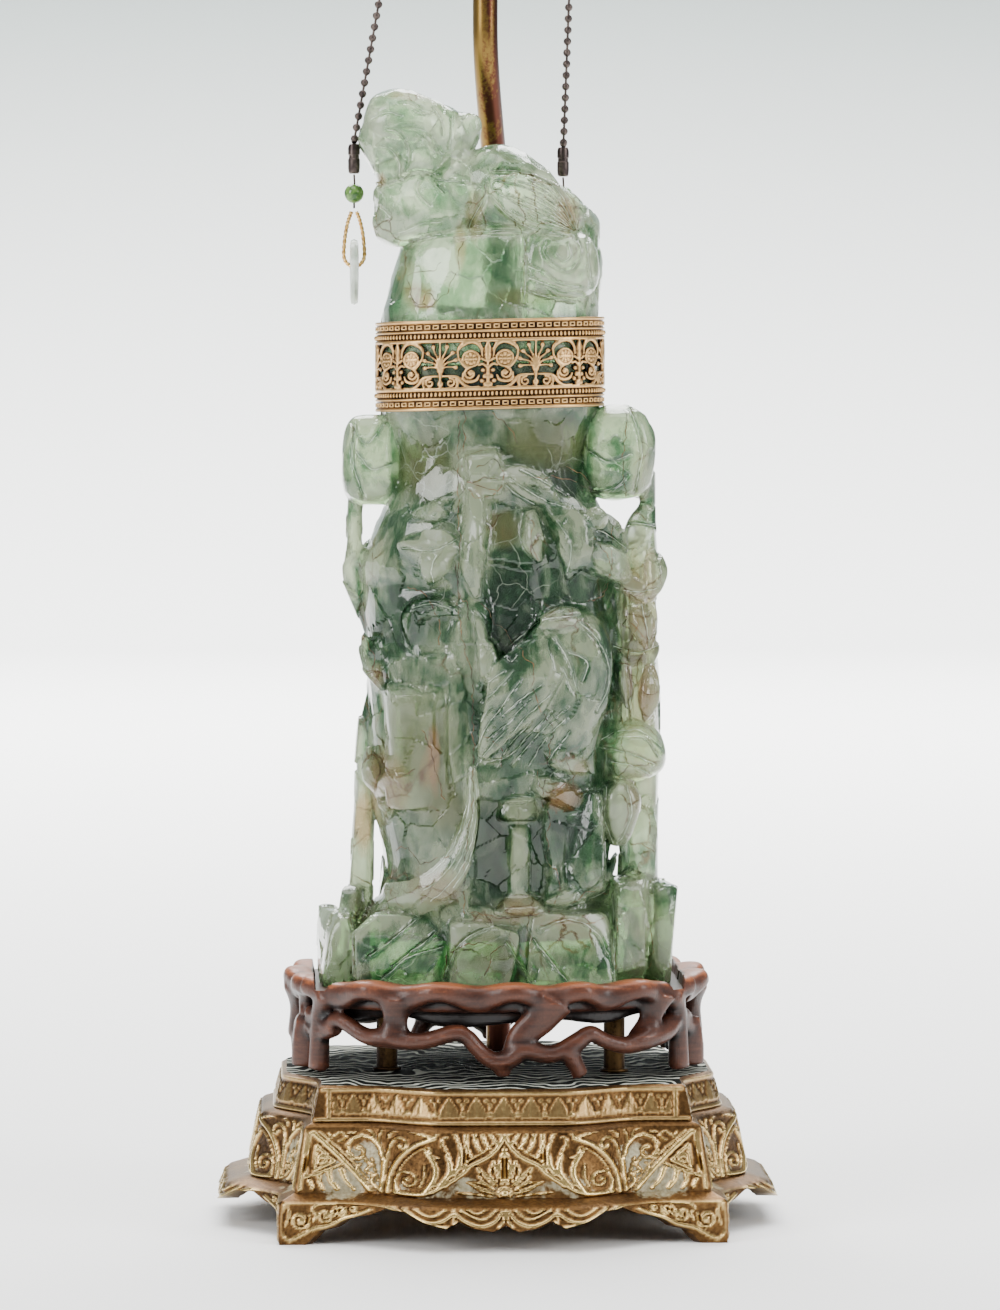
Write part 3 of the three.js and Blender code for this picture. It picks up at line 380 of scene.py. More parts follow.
# Leaves: points of [across, height, lift], half widths, thickness.
front_leaves = [
    # upper left: a broad leaf with a ragged lower edge, and two more behind it
    ([[-14, 268, 1], [-26, 268, 3.5], [-40, 270, 2]], [2, 7.5, 7, 1], 3.2),
    ([[-20, 270, 1], [-25, 262, 4], [-27, 253.5, 2]], [3, 6, 5, 0.6], 3),
    ([[-12, 290, 0], [-22, 283, 1.5], [-36, 279, 1]], [1, 5, 5, 1], 2),
    # upper right: ribbed leaf, hanging drop, big leaf and the leaf at the shoulder
    ([[-1, 297.5, 1], [10, 294, 4], [21, 287, 4], [30, 280, 2]], [1, 6, 6.5, 3, 0.6], 3.2),
    ([[12, 283, 2], [13, 273, 4.5], [15.5, 263, 3]], [2, 4, 4, 0.8], 3.2),
    ([[17, 286, 2], [26, 279, 4.5], [30, 268, 4.5], [27, 256, 2]], [2, 6, 8, 6, 0.8], 3.2),
    ([[35, 282, 2], [43, 274, 4], [52, 267, 1]], [3, 6.5, 6, 0.8], 3),
    # left edge
    ([[-45, 212, 2.5], [-49, 222, 5], [-54, 234, 3]], [1, 4.6, 4.2, 0.5], 3),
    ([[-16, 243, 1], [-27, 245, 3], [-35, 240, 3], [-33, 226, 1]], [1, 4, 5, 3.5, 0.5], 2.6),
    # leaf over the left opening
    ([[-45, 170, 4], [-49, 179, 7], [-51, 189.5, 5]], [2, 4.6, 4, 0.5], 3),
    ([[-46, 168, 5], [-40, 175, 8], [-34, 179, 6]], [2, 6.5, 6, 1], 3.2),
    ([[-47, 172, 4], [-44, 167, 7], [-43, 161, 5]], [2, 4.5, 4, 0.6], 3),
    # beak-like tip and shard under the bird
    ([[17, 189, 2], [26, 185, 4], [35.5, 180, 3]], [2, 5, 4, 0.8], 3),
    ([[14, 176, 1], [23, 172, 3], [32, 165, 2]], [2, 5, 5, 1], 2.4),
    # leaf blades at the foot of the right-hand body
    ([[16, 128, 2], [30, 131, 5], [42, 137, 5], [48, 146, 2]], [1, 4, 4, 2, 0.4], 3),
    # leaf laid over the right trunk
    ([[61, 268, 8], [62, 257, 11], [59, 247, 9]], [2, 4.6, 4, 0.6], 3),
    # smaller ones stacked down the trunk
    ([[50, 262, 6], [52, 254, 9], [58, 250, 10], [63, 253, 8]], [1.5, 4, 4.4, 1], 3),
    ([[53, 246, 6], [57, 238, 9.5], [60, 228, 8.5]], [2.6, 5, 4.4, 0.8], 3),
    ([[48, 226, 5], [50, 216, 8], [52, 204, 7]], [1, 3.6, 3, 0.6], 2.6),
    ([[60, 222, 7], [60, 210, 9.5], [58, 199, 8]], [1.4, 4, 3.6, 0.6], 2.6),
]
# The plume that sweeps down from the middle to the left: its points and half widths.
plume = ([[-10.5, 183, 2], [-11, 163, 4.5], [-17.5, 144, 6], [-30, 132, 7.5], [-44, 128.5, 6.5]],
         [1.6, 3.6, 6, 7.5, 6.5])
back_leaves = [
    ([[42, 262, 1], [28, 270, 3], [12, 268, 1]], [1, 8, 7, 1], 3),
    ([[-14, 232, 1], [-27, 222, 3], [-42, 226, 1]], [1, 8, 7, 1], 3),
    ([[-12, 212, 1], [-28, 200, 3], [-42, 184, 1]], [1, 8, 7, 1], 3),
    ([[10, 150, 1], [24, 158, 3], [38, 174, 1]], [1, 8, 7, 1], 3),
    ([[14, 224, 1], [26, 214, 3], [38, 196, 1]], [1, 7, 6, 1], 3),
]
front_limbs = [
    # stalk under the pale bar, and the root below it
    ([[-9, 277, 0], [-10.5, 262, 1.5], [-8.5, 249, 1.5]], [5.4, 5, 1.4]),
    ([[-9.5, 243, 0], [-7.5, 238, 1.5], [-6, 226, 1.5], [-7.5, 212, 0.5]], [1, 2.2, 2.4, 1]),
    # branch of the upper right with its bud's stalk
    ([[-4, 299, 0], [12, 291.5, 2], [26, 286, 2.5], [36, 281, 3]], [1.6, 2.2, 2.4, 2.2]),
    ([[20, 291, 1], [30, 285, 3], [40, 274, 1.5]], [1.2, 2.4, 1.4]),
]
back_limbs = [
    ([[46, 272, 0], [30, 258, 2], [22, 230, 2], [24, 190, 0]], [2, 3, 3, 2]),
    ([[-18, 300, 0], [-22, 268, 2], [-20, 236, 2], [-26, 200, 0]], [2, 3, 3, 2]),
    ([[-44, 172, 0], [-30, 162, 2], [-22, 140, 2], [-26, 122, 0]], [2, 3, 4, 4]),
]
# Branches clear of the body on both sides: path, radii.
side_limbs = [
    ([[-55, -2, 292], [-56.6, -2, 283], [-56.6, -2, 269.5], [-57.4, -1, 258], [-55, 0, 246],
      [-52, 0, 235]],
     [4.6, 3.4, 3.8, 4.2, 3, 0.8]),
    ([[-49, -6, 214], [-52.5, -4, 192], [-52.7, -2, 169], [-53.5, -2, 150], [-54.5, -2, 120]],
     [2.5, 3.6, 4, 4.4, 5]),
    ([[59, -2, 297], [60.5, -2, 285], [58, -2, 276], [56, -2, 260], [55, -2, 244], [55.5, -2, 210]],
     [4.6, 3.2, 6, 9, 9.5, 9.5]),
    ([[56, -2, 215], [56, -2, 188], [57.5, -2, 168], [57, -2, 146], [56.5, -2, 120]],
     [9.5, 9.5, 7.5, 7.5, 8.5]),
]
# Lumps: centre, half sizes, lean, squareness, taper, turn.
side_lumps = [
    ([-49.5, -3, 303], [11.5, 13, 17.8], 0, 3.4, 0.06, 0),
    ([-57, -4, 300], [3.6, 8, 15], -4, 2.2, 0, 0),
    ([48.6, -3, 305.5], [13.6, 14, 18.6], 0, 3.0, 0.04, 0),
    ([58.5, -5, 303], [4.4, 9, 14], 6, 2.2, 0, 0),
    # round bud on its stalk
    ([38.2, -33.5, 280.1], [4.6, 4.6, 4.6], 0, 2, 0, 0),
    # shell leaf and the closed bud under it
    ([54, -17, 186], [12.4, 13, 11.4], -12, 2.5, 0, 0),
    ([57, -14, 193], [9, 10, 5], 24, 2.2, 0, 0),
    ([47.6, -25, 162.5], [8, 8.5, 13], 4, 2.3, -0.25, 0),
    # wedge of the right shoulder
    ([41, -18, 263], [12, 18, 7], 18, 3.4, 0.2, 0),
]
# Blocks cut flat all round: centre, half sizes, taper, turn.
rocks = [
    ([-6.5, -32, 301], [8, 6, 7], 0.12, 10),
    ([-5.2, -33.5, 292], [8.2, 5.5, 2.8], 0, 0),
    ([-9.3, -35.5, 281.5], [4.1, 4.8, 9.5], 0, 8),
    ([-64.4, -4, 108.5], [7.2, 27, 15.2], 0.03, 4),
    ([-57.5, -14, 126], [4.6, 10, 7], 0.3, -10),
    ([-38.5, -31.5, 108], [20.5, 11.5, 15.5], 0.02, -2),
    ([-7, -36, 106.5], [16, 9, 14.5], 0.14, 3),
    ([28.5, -33.5, 107.5], [17, 10.5, 17], 0.14, -5),
    ([52.5, -9, 113], [9.5, 30, 23.5], 0.02, 0),
    # flat-cut faces of the trunk and of the lower left body
    ([55.5, -7, 236], [8.4, 8.6, 20], 0.03, 14),
    ([56, -7, 208], [8.2, 8.4, 14], -0.03, -10),
    ([57.5, -6, 146], [6.6, 8, 18], 0.02, 12),
    ([-34, -33.6, 192], [10.5, 6, 27], 0.03, 5),
    ([-16.5, -34.4, 196], [5, 5.6, 24], 0.02, -6),
    ([33, -32, 152], [9, 6.4, 20], 0.06, -9),
    ([64, -4, 111], [7, 27, 23], 0.04, 5),
    ([-31, 31, 106], [31, 9, 14], 0.06, 2),
    ([29, 31, 107], [31, 9, 15], 0.06, -2),
    ([44, 18, 232], [9, 13, 10], 0.2, 24),
    ([-44, 16, 262], [8, 13, 9], 0.2, -24),
]
niche = {"x": (-10.5, 19), "z": (126, 168.5), "depth": 5.0}
pillar_x = 8.3


def crystal(centre, half, taper, turn, chips, source):
    """Box with its corners cut by random planes: each plane pushes the points beyond it back onto it."""
    points, faces = lump((0, 0, 0), half, 0, 9, taper, 0)
    for _ in range(chips):
        normal = source.normal(size=3) * [1, 1, 0.8] / np.array(half)
        normal /= np.linalg.norm(normal)
        reach = np.abs(points @ normal).max() * source.uniform(0.72, 0.86)
        beyond = np.maximum(points @ normal - reach, 0)
        points = points - beyond[:, None] * normal
    a = math.radians(turn)
    spin = np.array([[math.cos(a), math.sin(a), 0], [-math.sin(a), math.cos(a), 0], [0, 0, 1]])
    return points @ spin + np.array(centre, float), faces


def vase_core():
    """The cup: outer skin up to the mouth, then the cavity down to its floor."""
    z_out = np.concatenate([np.arange(vase_foot, vase_mouth, 3), [vase_mouth]])
    z_in = np.concatenate([[vase_mouth], np.arange(vase_mouth - 3, cavity_floor, -6), [cavity_floor]])
    inset = np.concatenate([np.zeros(len(z_out)), np.full(len(z_in), vase_wall)])
    z = np.concatenate([z_out, z_in])
    rings = oval_rings(z, profile_at(z, 1) - inset, profile_at(z, 2) - inset, profile_at(z, 3), 96)
    return closed_surface(rings)


def keep_in_wall(points):
    """Moves what would show inside the cavity out into the wall."""
    inside = (points[:, 2] > cavity_floor - 6) & (points[:, 2] < vase_mouth)
    w = profile_at(points[:, 2], 1) - vase_wall + 2
    d = profile_at(points[:, 2], 2) - vase_wall + 2
    x = points[:, 0] - profile_at(points[:, 2], 3)
    reach = (np.abs(x / w) ** stone_squareness + np.abs(points[:, 1] / d) ** stone_squareness) ** (
        1 / stone_squareness)
    grow = np.where(inside & (reach < 1), 1 / np.maximum(reach, 0.05), 1)
    moved = points.copy()
    moved[:, 0] = points[:, 0] + x * (grow - 1)
    moved[:, 1] = points[:, 1] * grow
    return moved


def merged(surfaces):
    points, faces, start = [], [], 0
    for some, around in surfaces:
        points.append(some)
        faces += [[corner + start for corner in face] for face in around]
        start += len(some)
    return np.concatenate(points), faces


bird_centre = (22, 214)
bird_half = (21.5, 10.5, 32)


def vase_forms():
    source = np.random.default_rng(4)
    forms = [vase_core()]
    forms += [leaf(face_path(path), widths, thick) for path, widths, thick in front_leaves]
    forms += [leaf(face_path(path, 1), widths, thick, 1) for path, widths, thick in back_leaves]
    forms += [limb(face_path(path), radii) for path, radii in front_limbs]
    forms += [limb(face_path(path, 1), radii) for path, radii in back_limbs]
    forms += [limb(path, radii) for path, radii in side_limbs]
    forms += [lump(*row) for row in side_lumps]
    forms += [crystal(*row, 14, source) for row in rocks]
    forms.append(leaf(face_path(plume[0]), plume[1], 3.6, -1, 0.3, 0.1))
    x, z = bird_centre
    forms.append(lump(on_vase(x, z, -3), bird_half, 13, 2.3))
    forms.append(lump(on_vase(-4, 223, 2), [4.6, 4.5, 9.5], -6, 2.2))
    forms.append(limb(face_path([[10, 230, 1], [17, 237, 2], [27, 240, 2.5], [37, 233, 1]]),
                      [3, 4.5, 5.5, 4]))
    forms.append(leaf(face_path([[19, 233, 4.5], [12, 220, 7], [2, 204, 6.5], [-7, 186, 3]]),
                      [4, 11, 13, 8, 2], 3.4, -1, 0.0, 0.2))
    face = on_vase(pillar_x, 147, 0)[1]
    forms.append(lump([pillar_x, face + 2.5, 143], [4, 5, 16], 0, 6))
    forms.append(lump([pillar_x - 0.8, face + 1, 165], [7, 5.5, 4.4], 0, 7, 0.16))
    forms.append(lump([pillar_x - 0.3, face + 1, 127], [9, 6, 4], 0, 4, 0.3))
    return [(keep_in_wall(points) if i else points, faces) for i, (points, faces) in enumerate(forms)]


def fuse(thing, voxel, smoothing):
    """Joins overlapping closed forms into one skin by voxels, then relaxes it."""
    remesh = thing.modifiers.new("remesh", "REMESH")
    remesh.mode = "VOXEL"
    remesh.voxel_size = voxel
    relax = thing.modifiers.new("relax", "SMOOTH")
    relax.factor = 0.5
    relax.iterations = smoothing
    freeze(thing)


def freeze(thing):
    """Puts the modifiers' result into the mesh."""
    graph = bpy.context.evaluated_depsgraph_get()
    fixed = bpy.data.meshes.new_from_object(thing.evaluated_get(graph))
    thing.modifiers.clear()
    thing.data = fixed


def points_of(thing, field="co"):
    data = np.empty(len(thing.data.vertices) * 3)
    thing.data.vertices.foreach_get(field, data)
    return data.reshape(-1, 3)


def move_points(thing, points):
    thing.data.vertices.foreach_set("co", points.ravel())
    thing.data.update()


def thin_out(thing, triangles):
    """Collapses edges, the flattest first, down to a number of triangles."""
    thing.data.calc_loop_triangles()
    collapse = thing.modifiers.new("collapse", "DECIMATE")
    collapse.ratio = min(1.0, triangles / len(thing.data.loop_triangles))
    freeze(thing)


# Incised work on the front: points of [across, height], half width and depth of the cut.
wing_strokes = [
    [[27.4, 206.6], [16.3, 196.1], [5.2, 182.9]], [[12.6, 200.3], [4.2, 190.9], [-0.6, 181.8]],
    [[1, 206.6], [-5.3, 198.3], [-9, 189.7]], [[-3.2, 206.6], [-5.6, 203.6], [-7.5, 200.3]],
    [[21, 204.6], [11.6, 195], [4.2, 186.6], [-5.3, 184]], [[3.1, 197.2], [-3.2, 190.9], [-9, 182.4]],
    [[16.3, 214.9], [8.4, 209.6], [1, 202.7]], [[5.2, 220.1], [-0.6, 213.9], [-7.5, 207.5]],
    [[1.6, 220.1], [-1.6, 218.2], [-4.3, 216]], [[8.3, 217], [3.4, 210.6], [-1.2, 203.5]],
    [[26, 201.4], [18, 193], [12, 183]], [[27.6, 196.4], [23, 190], [19, 184]],
    [[12, 210], [3, 200], [-5, 193]], [[20, 211], [10, 202], [2, 192]],
]
wing_cuts = [(path, 0.5, 0.6) for path in wing_strokes]
front_cuts = wing_cuts + [
    # wing edge, back of the bird and the eye
    ([[4.7, 230], [11, 235.5], [18, 240.5], [32, 242]], 0.7, 0.6),
    ([[31.6, 239.3], [38.9, 231.8], [43.4, 221.2], [42.4, 211.7], [38.4, 204.3]], 0.8, 0.7),
    ([[27.4, 227.5], [34.7, 223.3], [32.6, 216]], 0.6, 0.5),
    ([[25, 221], [29, 212], [36, 211]], 0.6, 0.5),
    ([[22, 233], [28, 222], [31, 208]], 0.7, 0.6),
    ([[1.5, 226.5], [4.3, 224], [7, 226.5]], 0.6, 0.8),
    # creases of the stacked leaves
    ([[47, 252], [55, 250.6], [63, 252]], 0.7, 0.9), ([[57, 246], [58.5, 238], [60, 229]], 0.5, 0.6),
    ([[46, 229], [56, 226], [65, 229]], 0.6, 0.8), ([[47, 276], [56, 277.5], [64, 276]], 0.6, 0.9),
    # veined leaf and clefts of the rocks below
    ([[-42, 104], [-25, 116.2]], 0.7, 0.9),
    ([[-53, 106.3], [-33, 121.3]], 0.7, 0.9),
    ([[-46, 99], [-36, 107], [-22, 111]], 0.6, 0.6),
    ([[3.1, 113], [12.2, 97]], 0.7, 0.9),
    ([[13.4, 114], [26.4, 98]], 0.7, 0.9),
    ([[28.3, 127], [42, 131], [54, 140]], 0.7, 0.7),
    ([[-22, 98], [-16, 112], [-4, 119], [8, 119]], 0.9, 1.0),
    ([[16, 118], [28, 122], [38, 117], [43, 108]], 0.9, 1.0),
    ([[45.5, 97], [45.5, 131]], 0.8, 1.2),
    ([[-57.8, 97], [-57.8, 123]], 0.8, 1.2),
    # ribbed leaf and its neighbours at the upper right
    ([[4.2, 296], [11.6, 290.8], [20, 286.5], [26.3, 284.5]], 0.5, 0.6),
    ([[8.4, 299.2], [18.9, 293.9], [27.4, 288.6]], 0.5, 0.6),
    ([[3, 293], [8, 288.6], [14, 285.6]], 0.5, 0.6),
    ([[23, 279], [28, 270], [27, 259]], 0.5, 0.5), ([[38, 276], [44, 273], [51, 268]], 0.5, 0.5),
    # leaves of the upper left
    ([[-38, 268.4], [-26.4, 267.6], [-16.9, 271.8]], 0.5, 0.6),
    ([[-25, 266], [-27, 260], [-26, 255]], 0.5, 0.5),
    ([[-34, 245], [-27, 246.6], [-18, 244]], 0.5, 0.5),
    # shell leaf
    ([[41, 192], [47.4, 195], [56.9, 195.5], [65.3, 188.7]], 0.6, 0.8),
    ([[42.1, 188.7], [52.7, 186.6], [62.1, 182.4]], 0.6, 0.8),
    ([[47.4, 192.9], [57.9, 192.9], [63.2, 185.5]], 0.5, 0.7),
    ([[45, 183], [54, 181.6], [62, 177]], 0.6, 0.7),
    # petals of the closed bud
    ([[43.3, 173], [42.2, 161], [45.8, 151]], 0.7, 0.9),
    ([[51, 174], [52.6, 162], [47.6, 151]], 0.7, 0.9),
    # petals of the two shoulder buds
    ([[-58, 318], [-52, 309], [-44, 319]], 0.8, 0.8),
    ([[-56, 306], [-50, 299], [-42, 301]], 0.7, 0.6),
    ([[-56, 318], [-57.6, 303], [-53, 288]], 0.8, 0.9),
    ([[37, 306], [44, 302], [53, 305]], 0.8, 0.8),
    ([[38, 290], [47, 292], [52, 297]], 0.7, 0.7),
    ([[53, 323], [57.5, 308], [55, 290]], 0.8, 0.9),
    # flutes of the trunk and of the lower left body
    ([[58, 262], [60, 230], [58, 205]], 1.0, 0.7),
    ([[52, 250], [51, 225], [54, 200]], 1.0, 0.6),
    ([[-46.5, 210], [-44, 187]], 1.2, 0.7),
    ([[-21, 214], [-22, 196], [-18.5, 172]], 1.2, 0.7),
]
# Places cut back from the face: low and high across, low and high up, depth, softness of the edge.
front_sinks = [
    (-50, -17.5, 227, 256, 2.2, 3),
    (-5, 15, 219, 262, 3.0, 2.0),
    (15, 44, 245, 262, 1.6, 3),
    (-4, 8, 267, 284, 1.6, 3.4),
    (41, 48, 150, 262, 3.0, 2.5),
    (20, 44, 140, 176, 1.6, 5),
    (niche["x"][0], niche["x"][1], niche["z"][0], niche["z"][1], niche["depth"], 0.8),
]


def line_distance(x, z, path, count=28):
    """Least distance in the front view from each point to a smooth line."""
    line = spline(path, count)
    best = np.full(len(x), 1e9)
    for (ax, az), (bx, bz) in zip(line[:-1], line[1:]):
        length = max((bx - ax) ** 2 + (bz - az) ** 2, 1e-9)
        t = np.clip(((x - ax) * (bx - ax) + (z - az) * (bz - az)) / length, 0, 1)
        best = np.minimum(best, (x - ax - t * (bx - ax)) ** 2 + (z - az - t * (bz - az)) ** 2)
    return np.sqrt(best)


def box_mask(x, z, row):
    x0, x1, z0, z1, _, soft = row
    x, z = x + 1.3 * np.sin(z / 5.1 + x0), z + 1.1 * np.sin(x / 4.3 + z0)
    across = smoothstep(x, x0 - soft, x0 + soft) * (1 - smoothstep(x, x1 - soft, x1 + soft))
    return across * smoothstep(z, z0 - soft, z0 + soft) * (1 - smoothstep(z, z1 - soft, z1 + soft))


def incise(thing, cuts, sinks, lift_of):
    """Sinks areas of the front back into the stone, then cuts lines into what faces the front."""
    points = points_of(thing)
    normals = normals_of(thing)
    front = smoothstep(-normals[:, 1], 0.1, 0.5) * (points[:, 1] < 0)
    x, z = points[:, 0], points[:, 2]
    ground = 1 - smoothstep(lift_of(points), 3.5, 6)
    for row in sinks:
        points[:, 1] += row[4] * box_mask(x, z, row) * front * ground
    for path, width, depth in cuts:
        reach = 3 * width
        corners = np.array(path)
        near = (x > corners[:, 0].min() - reach) & (x < corners[:, 0].max() + reach)
        near &= (z > corners[:, 1].min() - reach) & (z < corners[:, 1].max() + reach) & (front > 0)
        gap = line_distance(x[near], z[near], path)
        cut = depth * np.exp(-((gap / width) ** 2)) * front[near]
        points[near] -= normals[near] * cut[:, None]
    move_points(thing, points)


def normals_of(thing):
    data = np.empty(len(thing.data.vertices) * 3)
    thing.data.vertex_normals.foreach_get("vector", data)
    return data.reshape(-1, 3)


def bulge_of(thing, rounds=6):
    """How far each point stands out from its neighbours' mean along its normal, smoothed."""
    mesh = thing.data
    edges = np.empty(len(mesh.edges) * 2, np.int64)
    mesh.edges.foreach_get("vertices", edges)
    a, b = edges.reshape(-1, 2).T
    count = len(mesh.vertices)
    degree = np.maximum(np.bincount(a, minlength=count) + np.bincount(b, minlength=count), 1)

    def spread(values):
        return (np.bincount(a, values[b], count) + np.bincount(b, values[a], count)) / degree

    points = points_of(thing)
    mean = points.copy()
    for _ in range(rounds):
        mean = np.stack([spread(mean[:, k]) for k in range(3)], 1)
    out = ((points - mean) * normals_of(thing)).sum(1)
    return spread(spread(out))


def facet(thing, cells, share, limit, source):
    """Draws the skin towards flat cells: each point moves towards the tangent plane of the nearest
    of some seed points picked on the skin, by a share of its gap and no more than limit."""
    points, normals = points_of(thing), normals_of(thing)
    seeds = source.choice(len(points), cells, replace=False)
    middle, facing = points[seeds], normals[seeds]
    nearest = np.empty(len(points), int)
    for start in range(0, len(points), 20000):
        some = slice(start, start + 20000)
        gap = ((points[some, None] - middle[None]) ** 2).sum(2)
        gap += 60 * (1 - normals[some] @ facing.T)
        nearest[some] = gap.argmin(1)
    off = ((points - middle[nearest]) * facing[nearest]).sum(1)
    agree = smoothstep((normals * facing[nearest]).sum(1), 0.2, 0.7)
    step = np.clip(off * share, -limit, limit) * agree
    move_points(thing, points - facing[nearest] * step[:, None])


def vase_lift(points):
    """How far each point stands off the uncarved face, roughly, in millimetres."""
    w, d = profile_at(points[:, 2], 1), profile_at(points[:, 2], 2)
    x = points[:, 0] - profile_at(points[:, 2], 3)
    reach = (np.abs(x / w) ** stone_squareness + np.abs(points[:, 1] / d) ** stone_squareness) ** (
        1 / stone_squareness)
    return (reach - 1) * d


def write_marks(thing, name, marks):
    """Colour attribute of a mesh: one row of red, green, blue and alpha for each point."""
    layer = thing.data.color_attributes.new(name, "FLOAT_COLOR", "POINT")
    layer.data.foreach_set("color", marks.ravel())


def write_level(thing, name, level):
    """The same level in red, green and blue."""
    write_marks(thing, name, np.stack([level] * 3 + [np.ones(len(level))], 1))


# Colour of the stone by place: across, height, half width, half height, then how much paler,
# browner and more olive it is there. They hold for the front.
vase_spots = [
    (-7, 300, 9, 9, 0.7, 0.15, 0.1), (-5, 291, 9, 4, 0.6, 0.15, 0), (-9, 281, 6, 10, 0.5, 0.05, 0),
    (2, 276, 7, 8, -0.1, 0.25, 0.8), (-28, 303, 12, 16, -0.2, 0, 0.6), (18, 310, 18, 12, -0.25, 0, 0.6),
    (-16, 300, 3, 14, 0.4, 0.1, 0), (14, 270, 5, 5, 0.3, 0.25, 0), (-30, 318, 18, 5, 0.25, 0, 0),
    (10, 320, 14, 4, 0.25, 0, 0), (28, 302, 8, 16, -0.25, 0, 0.1),
    (-34, 241, 16, 14, -0.45, 0, 0), (5, 241, 11, 21, -0.6, 0, 0), (30, 251, 14, 9, -0.3, 0, 0),
    (44, 225, 5, 30, -0.6, 0, 0),
    (35, 155, 14, 22, -0.4, 0, 0), (4, 148, 15, 20, -0.6, 0, 0.2), (8, 144, 4.5, 17, 1.0, 0, 0),
    (8, 165, 8, 5, 1.0, 0, 0), (8, 127, 9, 4, 0.7, 0.45, 0), (-30, 190, 18, 26, 0.12, 0, 0.35),
    (57, 240, 9, 40, 0.45, 0.38, 0.1), (57, 180, 9, 40, 0.4, 0.3, 0.1), (57, 128, 9, 12, 0.3, 0.1, 0.3),
    (-53, 158, 5, 13, 0.1, 0.95, 0), (-54, 126, 5, 8, 0.25, 0.15, 0.5), (-44, 176, 9, 13, 0.3, 0.45, 0.1),
    (-26, 186, 2.6, 13, 0, 0.85, 0.2), (-20, 165, 7, 10, 0, 0.1, 0.7), (25, 170, 8, 6, 0, 0.6, 0.3),
    (32, 182, 5, 4, 0.5, 0.35, 0), (-50, 272, 5, 22, 0.35, 0.15, 0), (-55, 240, 4, 8, 0, 0.7, 0),
    (-48, 217, 4, 5, 0.1, 0.35, 0), (-25, 135, 12, 8, 0.3, 0.35, 0.1), (-11, 165, 3, 14, 0.6, 0, 0),
    (-44, 128, 8, 6, 0.25, 0, -0.2), (-8, 108, 15, 10, 0.1, 0, 0.5), (10, 122, 26, 3, 0.5, 0.3, 0),
    (30, 118, 16, 5, 0.3, 0.15, 0), (62, 108, 12, 16, 0.25, 0.05, 0.3), (-64, 110, 9, 15, 0.2, 0, 0.3),
    (52, 186, 12, 10, 0.2, 0, -0.2), (47, 162, 8, 12, 0.45, 0, -0.3), (57, 300, 5, 18, 0.4, 0.25, 0),
    (-54, 305, 6, 16, 0.2, 0, 0), (47, 306, 8, 12, 0.0, 0, 0.2), (-4, 223, 5, 10, 0.2, 0, 0),
    (-8, 240, 4, 20, 0.0, 0.05, 0), (30, 222, 12, 20, -0.1, 0, -0.1), (12, 200, 16, 14, -0.2, 0, 0),
    (-50, 303, 10, 16, -0.2, 0, 0), (46, 306, 11, 16, -0.2, 0, 0), (-40, 108, 16, 13, -0.15, 0, 0),
    (28, 107, 14, 12, -0.15, 0, 0.1), (-34, 172, 12, 40, -0.12, 0, 0.2),
]


def paint_stone_tint_and_light(thing, lift, spots, shift=0.0):
    """Writes the stone's tint attribute: red for paler, green for browner, blue for more olive. Red also
    holds painted light: paler on low raised forms, as light through thin stone, and along ridges and
    grooves, as painted glints.
    """
    points, out = points_of(thing), bulge_of(thing)
    front = smoothstep(-points[:, 1], -4, 12)
    tint_and_light = np.zeros((len(points), 4))
    # Painted light: paler on forms raised 1.5 to 8 mm, as painted light through thin stone, and along ridges
    # and grooves, as painted glints.
    tint_and_light[:, 0] = 0.22 + shift + 0.2 * (smoothstep(lift, 1.5, 4.5) - smoothstep(lift, 8, 13)) + np.clip(
        np.abs(out) * 1.3 - 0.06, 0, 0.22)
    for x, z, half_x, half_z, pale, brown, olive in spots:
        near = np.exp(-(((points[:, 0] - x) / half_x) ** 2 + ((points[:, 2] - z) / half_z) ** 2) ** 2)
        tint_and_light[:, :3] += (near * front)[:, None] * [0.85 * pale, brown, olive]
    tint_and_light[:, 3] = 1
    write_marks(thing, "stone_tint_and_light", np.clip(tint_and_light, 0, 1))


def set_in_metres(thing):
    move_points(thing, points_of(thing) * MM)


def crackle(stone, scale, width):
    """1 along the borders of warped cells, 0 away from them."""
    warp = stone.noise(scale * 1.7, 4, out="Color")
    push = stone.node("VectorMath", "Vector", {0: warp, 1: (0.5 / scale,) * 3, 2: stone.place},
                      operation="MULTIPLY_ADD")
    gap = stone.node("TexVoronoi", "Distance", {"Vector": push, "Scale": scale},
                     feature="DISTANCE_TO_EDGE")
    return stone.ramp(gap, (0.0, (1, 1, 1)), (width, (0, 0, 0)))


def crystals(stone, scale, squash):
    """Random level of each flat-sided cell, so that the stone reads as grown together."""
    spot = stone.node("Mapping", "Vector", {"Vector": stone.place, "Scale": (1, 1, squash),
                                            "Rotation": (0.3, 0.5, 0.2)})
    cells = stone.node("TexVoronoi", "Color", {"Vector": spot, "Scale": scale})
    return stone.node("SeparateColor", "Red", {"Color": cells})


